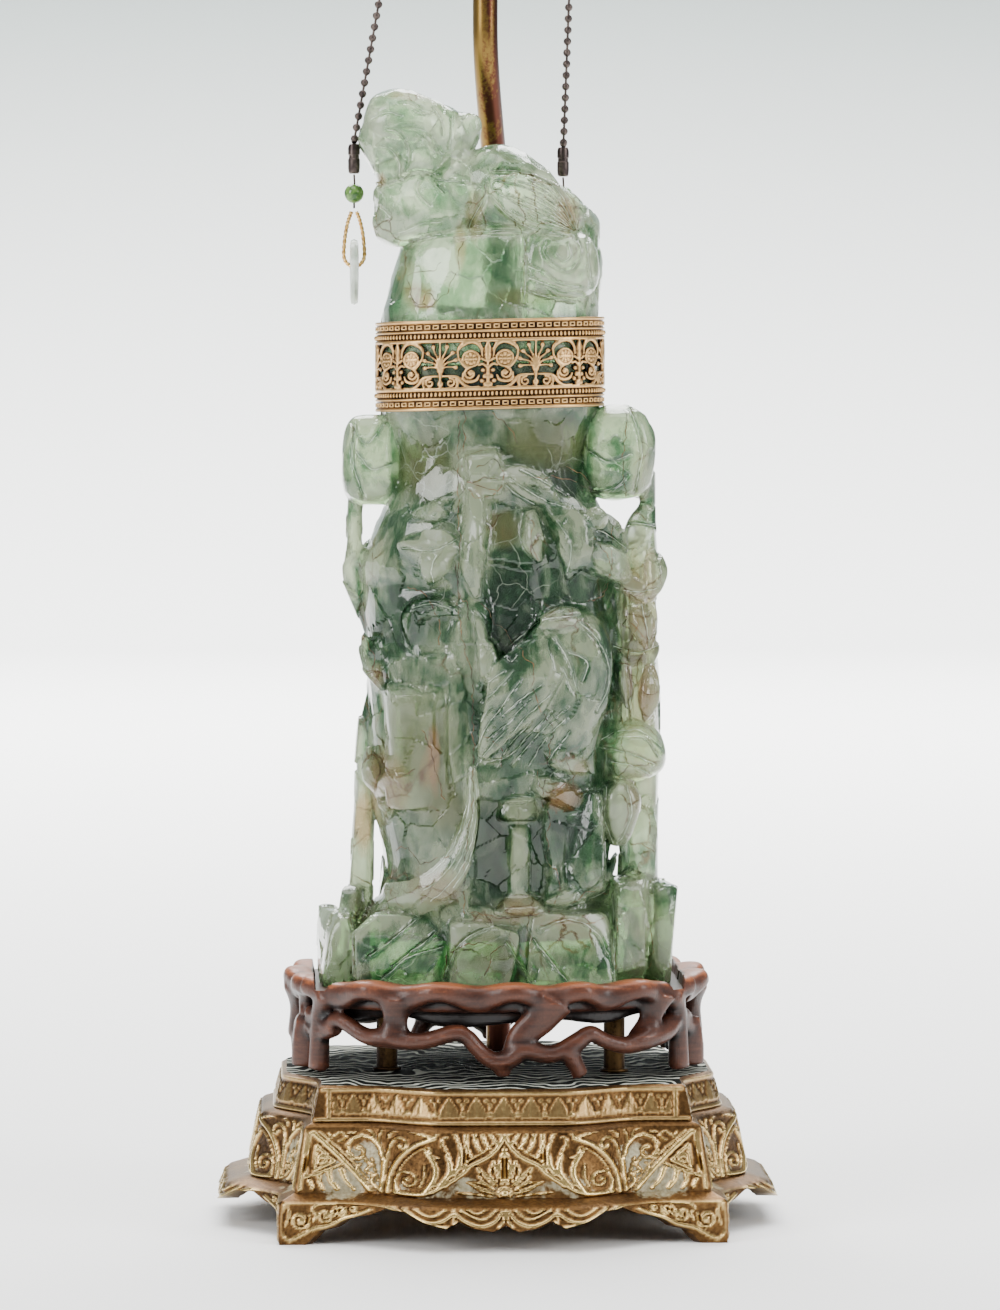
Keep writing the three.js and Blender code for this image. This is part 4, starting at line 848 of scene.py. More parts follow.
def stone_material(name, dark, middle, pale, density, transmission):
    """Polished fluorite: cloudy green body, see-through in part, with olive and rusty veins."""
    stone = Finish(name)
    # The red channel carries the tint attribute's painted light into the body's colour: light through thin
    # stone, and glints on ridges and grooves.
    red, green, blue = stone.marks("stone_tint_and_light")
    black, white = (0, 0, 0), (1, 1, 1)
    cloud = stone.plus(red, stone.noise(24, 5, wobble=0.9), 0.8)
    for scale, detail, squash, wobble, amount in ((90, 7, 0.45, 1.8, 0.7), (420, 5, 0.5, 1.0, 0.35)):
        cloud = stone.plus(cloud, stone.noise(scale, detail, (1, 1, squash), wobble), amount)
    for scale, squash, amount in ((72, 0.6, 0.16), (190, 0.5, 0.08)):
        cloud = stone.plus(cloud, crystals(stone, scale, squash), amount)
    body = stone.ramp(stone.minus(cloud, 0.78), (0.28, dark), (0.56, middle), (0.9, pale))
    milk = stone.ramp(stone.noise(70, 9, (1, 1, 0.5), 2.8), (0.55, black), (0.72, (0.55,) * 3))
    body = stone.mix(milk, body, (0.34, 0.42, 0.28))
    olive = stone.ramp(stone.plus(blue, stone.noise(40, 4), 0.6), (0.42, black), (0.95, (0.85,) * 3))
    body = stone.mix(olive, body, (0.15, 0.165, 0.055))
    patches = stone.ramp(stone.noise(19, 3), (0.54, black), (0.62, (0.8,) * 3))
    body = stone.mix(stone.times(crackle(stone, 52, 0.012), patches), body, (0.45, 0.52, 0.4))
    brown = stone.plus(green, stone.noise(110, 7, (1, 1, 0.5), 1.0), 0.7)
    body = stone.mix(stone.ramp(brown, (0.5, black), (1.0, (0.9,) * 3)), body, (0.36, 0.2, 0.085))
    patches = stone.ramp(stone.plus(green, stone.noise(30, 3), 0.9), (0.5, black), (0.62, white))
    body = stone.mix(stone.times(crackle(stone, 58, 0.03), patches), body, (0.13, 0.06, 0.02))
    wave = stone.plus(stone.noise(130, 2, (1, 1, 0.6)), crystals(stone, 150, 0.6), 0.02)
    depth = stone.node("VolumeAbsorption", "Volume", {"Color": (0.42, 0.8, 0.36, 1), "Density": density})
    return stone.surface({
        "Base Color": body, "Roughness": 0.22, "Specular IOR Level": 0.25, "IOR": 1.434,
        "Coat Weight": 0.75, "Coat Roughness": 0.04, "Coat IOR": 1.434,
        "Transmission Weight": transmission, "Normal": stone.bump(wave, 0.8, 0.001)}, Volume=depth)


def carved_vase():
    points, faces = merged(vase_forms())
    thing = new_object("carved_vase", points, faces)
    fuse(thing, 0.8, 3)
    facet(thing, 900, 0.75, 0.7, np.random.default_rng(11))
    incise(thing, front_cuts, front_sinks, vase_lift)
    points = points_of(thing)
    points[:, 2] = np.maximum(points[:, 2], vase_foot)
    move_points(thing, points)
    thin_out(thing, 196000)
    paint_stone_tint_and_light(thing, vase_lift(points_of(thing)), vase_spots)
    set_in_metres(thing)
    return thing


vase_stone = stone_material("vase_fluorite_polished", (0.006, 0.034, 0.013), (0.042, 0.112, 0.048),
                            (0.4, 0.46, 0.3), 20.0, 0.6)
vase = carved_vase()
vase.data.materials.append(vase_stone)
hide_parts("fluorite_vase")
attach(vase, "root")


# Fractures and cut lines of the vase. The old breaks of the stone are brown with dirt and old glue,
# and the wheel-cut lines are pale, partly from their frosted bottoms and partly as painted glints on
# their edges: each is a thin line on the skin, broken up at random. Points of [across, height], from the
# front.

vase_breaks = [
    [[-15.7, 320], [-15.7, 290], [-15.9, 262], [-15.4, 238], [-10.8, 216], [-10.4, 194], [-10.6, 171],
     [-13.6, 146], [-13.8, 124]],
    [[-2, 322], [4, 316], [8, 310]], [[-13.7, 325], [-13.9, 312], [-14.2, 300]],
    [[12, 296.5], [24, 296], [38, 291], [44, 286]], [[9, 282.5], [13, 278], [12, 270], [16, 262]],
    [[3, 234], [9, 228], [13, 221], [13.6, 211], [17.4, 203], [21, 196], [19.8, 190], [19, 183]],
    [[14.6, 180.5], [15.4, 175], [20, 172], [27, 176], [33, 180]], [[1, 182], [0, 190], [-8, 196]],
    [[-17, 262], [-15.8, 250], [-13, 247], [-11.6, 240]],
    [[-36, 252], [-30, 251], [-24, 240], [-23.4, 230]],
    [[-9, 300], [-2, 303], [1.4, 298], [-1, 291], [-9, 288], [-12, 292]],
    [[-12.6, 294], [-2, 291.4], [3, 294]],
    [[34, 247], [42, 250], [44, 262], [38, 272]], [[46, 282], [44.6, 262], [41.6, 250]],
    [[50.7, 324], [50.9, 312], [49.6, 300], [51.4, 288]], [[52, 238], [60, 232], [64, 236]],
    [[54, 214], [60, 210], [65, 213]], [[50, 196], [54, 205], [52, 222], [55, 240]],
    [[58, 150], [63, 146], [65, 150]],
    [[-51, 189], [-47, 181], [-49, 172], [-44, 163]], [[-33, 181], [-40, 178], [-47, 181]],
    [[-55, 262], [-52, 255], [-55, 246], [-53, 238]], [[-53, 214], [-49, 222], [-52, 231]],
    [[-30, 197], [-27, 188], [-24, 178], [-22, 169]], [[-44, 146], [-36, 150], [-30, 144], [-20, 148]],
    [[61, 135], [59.6, 124], [61.4, 112], [60.2, 100]], [[45.8, 99], [46.2, 112], [45.6, 126]],
    [[28, 128], [36, 132], [43, 130], [48, 136]], [[-22, 98], [-20, 108], [-12, 113], [-3, 112]],
    [[-6, 100], [-3, 108], [2, 113]], [[-58, 98], [-57.6, 111], [-58.4, 123]],
    [[16, 119], [25, 122], [34, 120], [42, 122]],
    [[-11, 125], [0, 122], [10, 123], [20, 125]], [[18, 178], [17, 168], [20, 160], [19, 146], [24, 138],
                                                   [22, 128]],
    [[-41, 142], [-42, 131], [-38, 126]], [[-7, 247], [-1, 239], [4, 234]],
    [[27, 300], [35, 296], [38, 287]],
]


def drawn_lines(name, lines, thing, width, seed, material, shake):
    """Ribbons laid on the front skin of a thing: each line is resampled every 0.7 mm, moved aside at
    random by up to about shake, cast along +Y onto the skin and given two edges."""
    source = np.random.default_rng(seed)
    tree = BVHTree.FromPolygons([Vector(p) for p in points_of(thing)],
                                [list(f.vertices) for f in thing.data.polygons])
    points, faces = [], []
    for line in lines:
        length = np.hypot(*np.diff(np.array(line, float), axis=0).T).sum()
        count = max(int(length / 0.7), 4)
        path = spline(line, count)
        aside = np.convolve(source.normal(size=count + 4), [0.2, 0.6, 1, 0.6, 0.2], "valid") * shake
        way = along(np.concatenate([path, np.zeros((count, 1))], 1))[:, :2]
        path = path + np.stack([-way[:, 1], way[:, 0]], 1) * aside[:, None]
        half = width * (0.25 + 0.75 * source.random(count)) / 2
        edges = []
        for x, z in path * MM:
            hit = tree.ray_cast(Vector((x, -0.3, z)), Vector((0, 1, 0)))
            edges.append(None if hit[0] is None else (hit[0] + hit[1] * 0.00006, hit[1]))
        last = None
        for i, found in enumerate(edges):
            if found is None or (last is not None and abs(found[0].y - last.y) > 0.0016):
                last = None if found is None else found[0]
                open_line = False
                continue
            spot, facing = found
            side = facing.cross(Vector((way[i][0], 0, way[i][1]))).normalized() * (half[i] * MM)
            points += [spot + side, spot - side]
            if last is not None and open_line:
                k = len(points) - 4
                faces.append([k, k + 1, k + 3, k + 2])
            last, open_line = spot, True
    ribbon = new_object(name, np.array(points), faces, False)
    ribbon.data.materials.append(material)
    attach(ribbon, "root")
    return ribbon


def line_material(name, dark, pale, rough):
    """Dirt in a crack, or the pale line of a wheel cut, partly its frosted bottom and partly a painted
    glint: paler and darker along its way.
    """
    line = Finish(name)
    colour = line.ramp(line.noise(150), (0.38, dark), (0.66, pale))
    return line.surface({"Base Color": colour, "Roughness": rough})


crack_dirt = line_material("crack_dirt", (0.02, 0.01, 0.004), (0.15, 0.075, 0.028), 0.6)
# Pale cut lines: partly the frosted bottoms of the cuts, partly painted glints on their edges.
frosted_cut_and_glint = line_material("frosted_cut_and_glint", (0.15, 0.22, 0.14), (0.66, 0.72, 0.6), 0.35)
flutes = 4  # the last of front_cuts, too broad for a line
plume_middle = spline([[x, z] for x, z, _ in plume[0]], 16)
plume_way = along(np.concatenate([plume_middle, np.zeros((16, 1))], 1))[:, [1, 0]] * [1, -1]
plume_half = np.interp(np.arange(16), np.linspace(0, 15, 5), plume[1])[:, None]
plume_lines = [
    (plume_middle + plume_way * plume_half * share)[first:last].tolist()
    for share, first, last in ((-0.75, 3, 10), (-0.45, 1, 12), (-0.1, 2, 9), (0.2, 4, 12), (0.5, 1, 8),
                               (0.8, 3, 11))
]
drawn_lines("vase_fractures", vase_breaks, vase, 0.5, 5, crack_dirt, 0.28)
drawn_lines("vase_cut_lines", [path for path, _, _ in front_cuts[:-flutes]] + plume_lines, vase, 0.34, 7,
            frosted_cut_and_glint, 0.1)


# Lid. One block of paler fluorite: a flanged cover carved as a bird that lies on it, its chest
# and turned-back head at the left, the folded wing and the haunch at the right. It sits on the
# mouth of the vase, inside the gallery, and is tipped with it.

lid_shift = -2.4
# Height over the rim, half width, half depth, shift to the side.
lid_profile = np.array([
    [0.3, 43, 32.3, 0], [19, 43, 32.3, 0], [23, 42.7, 31.8, 0.3], [29, 41.6, 30.8, 1.0],
    [39, 40.2, 29.5, 1.9],
    [46, 38.6, 28, 2.6], [50, 36.5, 26, 3.6], [52.5, 33, 23, 4.5], [54, 28, 18, 5], [55, 20, 12, 5],
])
# Forms in the front view: centre, half sizes, lean, roundness. Heights are over the table.
lid_lumps = [
    # chest: a heavy rounded mass with a lower bulge at its left and a ruff above its right
    ((-27.5, -3, 402), (20.5, 17.5, 14), 0, 2.6), ((-39.5, -5, 396.5), (9.5, 12, 8.8), 10, 2.3),
    ((-17, -6, 409), (11.5, 14, 9.5), 40, 2.3), ((-14.5, -5, 416), (9, 11, 5.6), 30, 2.2),
    ((-38.5, -3, 408), (10.5, 13, 6), 0, 2.3),
    # head, its crest, the cheek that runs down at the left and the lump at the right
    ((-34.5, -1, 435.5), (18.5, 13.5, 13.4), 18, 2.3), ((-24, -1, 431), (12.5, 11.5, 13), 50, 2.2),
    ((-44.5, 0, 429), (9.5, 11, 11.5), -20, 2.2), ((-42, 0, 419), (7, 9.5, 12.5), -14, 2.4),
    ((-30, -1, 422), (12, 11.5, 9), 0, 2.4), ((-12.4, -1, 433.4), (6, 6.5, 8), 14, 2.5),
    ((-14.5, -1, 425), (5, 6.5, 8), -14, 2.4),
    # back and body
    ((4, -1, 405), (24, 18, 20.5), 35, 2.4), ((-5, 0, 415), (11, 10, 11), 50, 2.3),
    ((21, -1, 396), (17, 19, 16), 40, 2.4), ((30, 0, 384), (10, 21, 20), 14, 2.5),
    # haunches
    ((25.5, -20, 379.5), (14.5, 13.5, 14), 0, 2.6), ((25.5, 20, 379.5), (14.5, 13.5, 14), 0, 2.6),
    # tail down the right side
    ((37.2, 0, 372), (4.6, 17, 17), 6, 2.6),
]
lid_leaves = [
    # folded wings, front and back
    ([[-3.5, -17.5, 412], [9, -22.5, 407.5], [20, -23.5, 401.5], [31, -21, 393]], [3.5, 9.5, 10, 3], 4,
     -1),
    ([[-5, 17.5, 412], [8, 22.5, 407.5], [19, 23.5, 401.5], [31, 21, 393]], [3.5, 9.5, 10, 3], 4, 1),
]
wing_top = [[-3, 416.5], [8, 416.3], [18, 413.2], [25, 406.5], [30.5, 395]]
wing_low = [[-3, 408], [4, 400.5], [12, 395.8], [20, 393.6], [30, 392.5]]
lid_cuts = [
    # head: flowing locks
    ([[-43.8, 433.8], [-39.8, 432.5], [-35.8, 427.9], [-34.9, 422.6], [-36.5, 417.3]], 0.75, 1.1),
    ([[-46, 427], [-42, 425.5], [-39, 421], [-38.8, 415]], 0.6, 0.8),
    ([[-31.9, 431.9], [-27.9, 429.2], [-23.9, 423.9]], 0.6, 1.0),
    ([[-37, 434.5], [-30, 433.5], [-25.5, 430], [-22, 424.5]], 0.55, 0.8),
    ([[-38.5, 444.5], [-33.9, 444.5], [-29.9, 441.8], [-27.2, 440.6]], 0.6, 0.9),
    ([[-33, 441.3], [-28.5, 439.5], [-24.6, 441.1]], 0.5, 0.9),
    ([[-25.2, 442.5], [-21.9, 437.2], [-21.4, 431.5]], 0.6, 0.9),
    ([[-50, 438], [-44, 440.5], [-38, 439]], 0.6, 0.7),
    ([[-17.6, 438.5], [-17.9, 432.5], [-18.8, 426]], 0.7, 1.0),
    # under the head, chest and ruff
    ([[-48, 411.8], [-40.5, 413.2], [-34.5, 416.2], [-30, 416.8], [-23, 415.8]], 0.9, 1.4),
    ([[-29.2, 415.6], [-31.9, 411.3], [-30.8, 407.2], [-26.8, 403.2]], 0.8, 1.0),
    ([[-25.5, 415.4], [-24.5, 411.5], [-21.5, 408.4]], 0.6, 0.8),
    ([[-24.8, 413.6], [-18, 412.8], [-11.5, 412.4], [-6.4, 411]], 0.6, 0.9),
    ([[-49.8, 404.6], [-45.6, 402.3], [-42.4, 398.9]], 0.6, 0.7),
    ([[-42, 392.2], [-36, 393.6], [-30, 396.2], [-22.4, 396.8]], 0.8, 0.7),
    # edge of the chest against the body, groove over the cover
    ([[-4.6, 412.5], [-5.5, 406], [-9.6, 398.6], [-11.6, 393.4]], 0.9, 1.5),
    ([[-34, 389.6], [-24.6, 391.8], [-10, 393], [3.3, 393.6], [13, 392.8]], 0.9, 1.5),
    # edges of the wing
    ([[x, z + 0.9] for x, z in wing_top], 0.8, 1.3), ([[x, z - 0.9] for x, z in wing_low], 0.8, 1.4),
    # spiral of the wing's root
    ([[3.5, 410.8], [1, 413.6], [-2.4, 412.2], [-1.8, 409.6], [0.8, 409.4]], 0.5, 0.8),
    # haunch: spiral and sweeping folds
    ([[29.8, 391.6], [32.6, 385.4], [30, 379.2], [26.4, 377.5], [20.5, 380.6], [17.6, 385.2], [19, 389]],
     0.8, 1.1),
    ([[27.4, 388.2], [28.4, 383.6], [25.6, 381.2], [22.6, 383.4]], 0.6, 0.8),
    ([[10.6, 392], [10.2, 384], [10.9, 376], [10, 365]], 0.9, 1.5),
    ([[12, 379.4], [18.5, 376.4], [23.2, 373], [31.8, 371.2]], 0.7, 0.9),
    ([[12, 374.6], [18.5, 372.4], [25, 369.6], [33.1, 368.4]], 0.7, 0.9),
    ([[12, 369.4], [19.8, 367.2], [30, 365.2]], 0.6, 0.8),
    ([[35.6, 392], [35.2, 384], [36.6, 374], [38, 365]], 0.8, 1.0),
]
feathers = 9
for share in np.linspace(0.1, 0.9, feathers):
    upper, lower = spline(wing_top, 12), spline(wing_low, 12)
    start = 1 + int(5 * (share * 7.3 % 1))
    feather = (upper * (1 - share) + lower * share)[start:]
    lid_cuts.append((feather[::2].tolist(), 0.42, 0.75))


def lid_forms():
    rise = np.arange(0, 55, 2.0)
    rise[0] = 0.3
    across, deep = squared_circle(full_turn(96), stone_squareness)
    w, d, shift = (profile_at(rise, k, lid_profile)[:, None] for k in (1, 2, 3))
    x, y = across * w + shift, deep * d
    cover = np.stack([x + lid_shift, y, vase_mouth + rise[:, None] + x * mouth_lean], 2)
    tongue_rise = np.array([-9, -4, 2.0])[:, None]
    x, y = across * 34 + 0 * tongue_rise, deep * 23.3 + 0 * tongue_rise
    tongue = np.stack([x + lid_shift, y, vase_mouth + tongue_rise + x * mouth_lean], 2)
    forms = [closed_surface(cover), closed_surface(tongue)]
    forms += [lump(centre, half, lean, power) for centre, half, lean, power in lid_lumps]
    forms += [leaf(path, widths, thick, facing, 0.0, 0.1, 9) for path, widths, thick,
              facing in lid_leaves]
    return forms


def flip_front_to_back(thing):
    points = points_of(thing)
    points[:, 1] *= -1
    move_points(thing, points)
    thing.data.flip_normals()


def carved_lid():
    points, faces = merged(lid_forms())
    thing = new_object("carved_lid", points, faces)
    fuse(thing, 0.7, 3)
    facet(thing, 420, 0.7, 0.6, np.random.default_rng(12))
    # The back carries the same folds as the front, but no feathers.
    flip_front_to_back(thing)
    incise(thing, lid_cuts[:-feathers], [], lambda p: 0 * p[:, 0])
    flip_front_to_back(thing)
    incise(thing, lid_cuts, [(-30, 10, 362, 388, 0.8, 3)], lambda p: 0 * p[:, 0])
    thin_out(thing, 120000)
    paint_stone_tint_and_light(thing, 0 * points_of(thing)[:, 0], lid_spots, 0.12)
    set_in_metres(thing)
    return thing


lid_spots = [
    (-22, 381, 6.5, 7.5, 1.0, 0.05, 0), (-31, 367, 7, 6, 0.1, 0.3, 0.7), (-29, 365, 4, 3, 0.1, 0.5, 0.4),
    (-2, 377, 13, 13, -0.3, 0, 0), (-24, 410, 6, 7, -0.25, 0, 0), (-37, 403, 9, 8, 0.1, 0, 0.15),
    (-40, 394, 8, 5, 0.55, 0.05, 0), (-9, 400, 4, 11, 0.2, 0.4, 0.3), (-46.5, 414, 3, 3, 0.3, 0.8, 0),
    (-36, 448, 12, 3, 0.3, 0.35, 0.2), (-24, 437, 5, 10, 0.3, 0.1, 0.2), (-28, 427, 8, 6, -0.1, 0, 0),
    (-13, 430, 6, 11, 0.4, 0, 0.1), (-49, 430, 5, 10, 0.3, 0, 0.2), (15, 405, 18, 12, 0.45, 0.22, 0),
    (28, 399, 5, 8, 0.3, 0.45, 0.2), (1, 414, 8, 6, -0.25, 0, 0), (0, 398, 8, 5, -0.35, 0, 0),
    (-15, 388, 2.5, 10, 0.2, 0.5, 0.3), (30, 375, 10, 14, 0.2, 0, 0.15), (18, 373, 9, 9, 0.1, 0, 0),
    (-42, 368, 5, 8, -0.4, 0, 0), (-12, 371, 10, 6, 0.2, 0, 0.1), (10, 367, 16, 4, -0.1, 0, 0.5),
    (-35, 376, 5, 8, 0.2, 0.2, 0.3), (4, 368, 10, 5, 0.2, 0.05, 0.1),
]
lid_stone = stone_material("lid_fluorite_polished", (0.045, 0.13, 0.055), (0.2, 0.32, 0.17),
                           (0.6, 0.66, 0.48), 10.0, 0.62)
lid = carved_lid()
lid.data.materials.append(lid_stone)
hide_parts("fluorite_lid")
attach(lid, "root")
lid_breaks = [
    [[-4.7, 411.5], [-6.4, 406.4], [-9.4, 402], [-10.6, 397], [-11.4, 393.5]],
    [[-14, 389.4], [-15.6, 384], [-15.2, 378]],
    [[-35.4, 375], [-34.6, 370.5], [-31.6, 365.4], [-27, 363.8], [-21, 368.4], [-18.4, 373],
     [-15.6, 377]],
    [[-35.4, 375], [-31, 377.4], [-26, 377.8], [-22, 380]], [[-30, 365], [-28, 369], [-25, 366]],
    [[10.4, 390], [10.8, 383], [9.8, 376], [10.4, 368]], [[24, 405], [27.4, 399], [28.6, 393.6]],
    [[17, 409], [22, 404], [27, 403]], [[-36, 449], [-30, 447.4], [-24, 444.4]],
]
drawn_lines("lid_fractures", lid_breaks, lid, 0.42, 6, crack_dirt, 0.28)
drawn_lines("lid_cut_lines", [path for path, _, _ in lid_cuts], lid, 0.3, 8, frosted_cut_and_glint,
            0.06)


# Gallery. A band of stamped and pierced brass, antique gilt, sprung round the joint of vase and
# lid: rails of little panels and beads above and below, palmettes, rosettes and torches between.

gallery_half = (45.6, 34.9)
gallery_foot, gallery_top = -18.0, 17.5
gallery_repeats = 7
gallery_pitch = 35.9
gallery_columns, gallery_rows = 88, 92  # points of one repeat along the band, and up it
gallery_start = -1.9  # place of a torch at the front, from the middle of the oval


def bar(u, v, path, width, count=14):
    """Rounded stroke: 1 on the line, falling to 0 at its half width and below 0 beyond."""
    line = spline(path, count)
    wide = np.interp(np.linspace(0, 1, count), np.linspace(0, 1, len(width)), width)
    best = np.full(u.shape, -9.0)
    low, high = line.min(0) - wide.max() * 2.2, line.max(0) + wide.max() * 2.2
    near = (u > low[0]) & (u < high[0]) & (v > low[1]) & (v < high[1])
    x, y, some = u[near], v[near], best[near]
    for (ax, ay), (bx, by), w in zip(line[:-1], line[1:], (wide[:-1] + wide[1:]) / 2):
        length = max((bx - ax) ** 2 + (by - ay) ** 2, 1e-9)
        t = np.clip(((x - ax) * (bx - ax) + (y - ay) * (by - ay)) / length, 0, 1)
        gap = np.hypot(x - ax - t * (bx - ax), y - ay - t * (by - ay))
        some = np.maximum(some, 1 - gap / w)
    best[near] = some
    return best


def ball(u, v, place, radius):
    return 1 - np.hypot(u - place[0], v - place[1]) / radius


def scroll(place, radius, start, sweep, inner=0.25):
    """Points of a spiral that winds in towards its middle."""
    turn = np.radians(np.linspace(start, start + sweep, 9))
    reach = radius * np.linspace(1, inner, 9)
    return np.stack([place[0] + reach * np.cos(turn), place[1] + reach * np.sin(turn)], 1).tolist()


def gallery_pattern(u, v):
    """Openwork of one repeat, centred on a palmette: above 0 is metal, 1 is the crest of a stroke."""
    metal = np.full(u.shape, -9.0)
    x = np.abs(u)

    def lay(layer):
        np.maximum(metal, layer, out=metal)

    # palmette: drop, spear and four ribs a side that end in balls
    lay(ball(x / 0.75, v, (0, -1.6), 2.0))
    lay(bar(x, v, [[0, 0], [0, 5], [0, 9.6]], [0.7, 0.5, 0.35]))
    for tip, bow in [((2.6, 7.3), (1.0, 3.0)), ((4.7, 4.9), (1.6, 2.0)), ((5.9, 2.0), (2.4, 0.9)),
                     ((5.9, -0.9), (2.8, -0.6))]:
        lay(bar(x, v, [[0.4, -1.0], bow, [(bow[0] + tip[0]) / 2 + 0.3, (bow[1] + tip[1]) / 2 + 0.1], tip],
                [0.5, 0.42, 0.4, 0.45]))
        lay(ball(x, v, tip, 0.95) * 1.2)
    # small scrolls under it, with a foot drop and leaves that run out to the sides
    lay(ball(x, v, (0, -7.2), 1.3) * 1.2)
    lay(bar(x, v, [[0, -3.4], [0, -6.5], [0, -9.6]], [0.7, 0.5, 0.6]))
    lay(bar(x, v, scroll((3.9, -6.8), 1.9, 100, -420), [0.5, 0.45]))
    lay(bar(x, v, [[1.2, -4.2], [4.0, -4.3], [6.8, -4.9], [8.4, -7.2], [11.2, -8.8], [14.6, -8.6]],
            [0.5, 0.6, 0.7, 0.7, 0.6, 0.4]))
    lay(bar(x, v, [[6.2, -5.2], [6.6, -7.4], [5.8, -9.4]], [0.6, 0.6, 0.5]))
    # rosette with its arch, and the volute below it
    flower = np.hypot(x - 11.6, v - 2.4)
    spin = np.arctan2(v - 2.4, x - 11.6)
    lay(np.maximum(1.2 * (1 - flower / 0.8), (0.5 - np.abs(flower - 3.1)) / 0.5))
    lay(np.minimum((2.6 - flower) / 0.7, 0.06 + 0.8 * np.abs(np.cos(4 * spin)) ** 1.5) * (flower > 0.8))
    lay(bar(x, v, [[6.6, 5.6], [7.6, 7.2], [9.6, 8.6], [11.8, 9.2], [14.2, 8.4], [15.6, 6.2],
                   [15.8, 3.6]],
            [0.5, 0.9, 1.1, 1.1, 1.0, 0.7, 0.4]) * (0.8 + 0.2 * np.sin(2.6 * x + 1.2 * v)))
    lay(bar(x, v, [[6.6, 5.4], [7.0, 3.0], [8.2, 0.6]], [0.6, 0.5, 0.5]))
    lay(bar(x, v, scroll((11.4, -3.4), 2.5, 95, 430), [0.55, 0.5]))
    lay(bar(x, v, [[8.2, 0.6], [9.6, -0.9], [11.4, -0.9]], [0.5, 0.5, 0.5]))
    lay(ball(x, v, (11.4, -3.4), 0.9) * 1.2)
    lay(bar(x, v, [[8.6, -3.2], [8.8, -5.6], [11, -6.7], [13.6, -6.0], [14.6, -4.2]],
            [0.4, 0.6, 0.7, 0.7, 0.4]))
    # half of a torch at each end of the repeat
    away = 17.95 - x
    lay(ball(away / 0.55, v, (0, 6.2), 2.6) * 1.1)
    lay(bar(away, v, [[0, 9.2], [0, 6], [0, 3]], [0.35, 0.7, 1.3]))
    lay(bar(away, v, [[0, 3.4], [0, 0], [0, -4], [0, -9.4]], [0.6, 0.5, 0.8, 0.7]))
    lay(bar(away, v, [[0, 1.4], [1.2, 1.7], [2.2, 2.4]], [0.5, 0.5, 0.6]))
    lay(ball(away, v, (1.9, -2.2), 0.9) * 1.1)
    lay(ball(away, v, (1.2, -4.6), 1.0) * 1.1)
    lay(ball(away, v, (2.3, -6.4), 0.9) * 1.1)
    lay(ball(away, v, (0.8, -7.8), 1.1) * 1.1)
    lay(bar(away, v, [[0, -1.4], [1.8, 0.2], [3.4, -0.2]], [0.5, 0.6, 0.5]))
    return metal


def gallery_way(repeat):
    """Unit place and outward direction on the band's oval, a number of repeats along it from the
    torch at the front: superellipse |x/a|^n + |y/b|^n = 1 walked at even steps of its own length."""
    turn = np.linspace(-math.pi / 2, 1.5 * math.pi, 4001)
    x, y = squared_circle(turn, stone_squareness)
    way = np.concatenate([[0], np.cumsum(np.hypot(gallery_half[0] * np.diff(x),
                                                  gallery_half[1] * np.diff(y)))])
    at = (way[-1] + gallery_start + np.asarray(repeat) / gallery_repeats * way[-1]) % way[-1]
    px, py = np.interp(at, way, x), np.interp(at, way, y)
    nx = np.sign(px) * np.abs(px) ** (stone_squareness - 1) / gallery_half[0]
    ny = np.sign(py) * np.abs(py) ** (stone_squareness - 1) / gallery_half[1]
    size = np.hypot(nx, ny)
    return px, py, nx / size, ny / size


def gallery_mesh():
    columns, rows = gallery_columns, gallery_rows
    share = (np.arange(columns * gallery_repeats) + 0.5) / columns  # in repeats, from a torch
    z = np.linspace(gallery_foot, gallery_top, rows)
    repeat, level = np.meshgrid(share, z, indexing="ij")
    u = (repeat % 1 - 0.5) * gallery_pitch
    v = level + 0.3
    open_part = gallery_pattern(u, v)
    edge = np.minimum(9.5 - v, v + 9.3)  # above 0 inside the openwork
    solid = np.where(edge > 0, np.maximum(open_part, 1 - edge / 0.7), 1.0)
    crest = np.sqrt(np.clip(np.minimum(solid, 1) * (2 - np.minimum(solid, 1)), 0, 1))
    rise = 0.85 * crest
    # rails: plain lips, rows of little panels, ridges and rows of beads, the same below as above
    up = np.abs(level + 0.25)
    ridge = sum(0.55 * np.clip(1 - ((up - at) / wide) ** 2, 0, 1) ** 0.5
                for at, wide in ((9.7, 0.55), (13.2, 0.5), (17.2, 0.75)))
    rise = np.where(edge > 0, rise, 0.12 + ridge * 1.2)
    return level, rise, solid, repeat


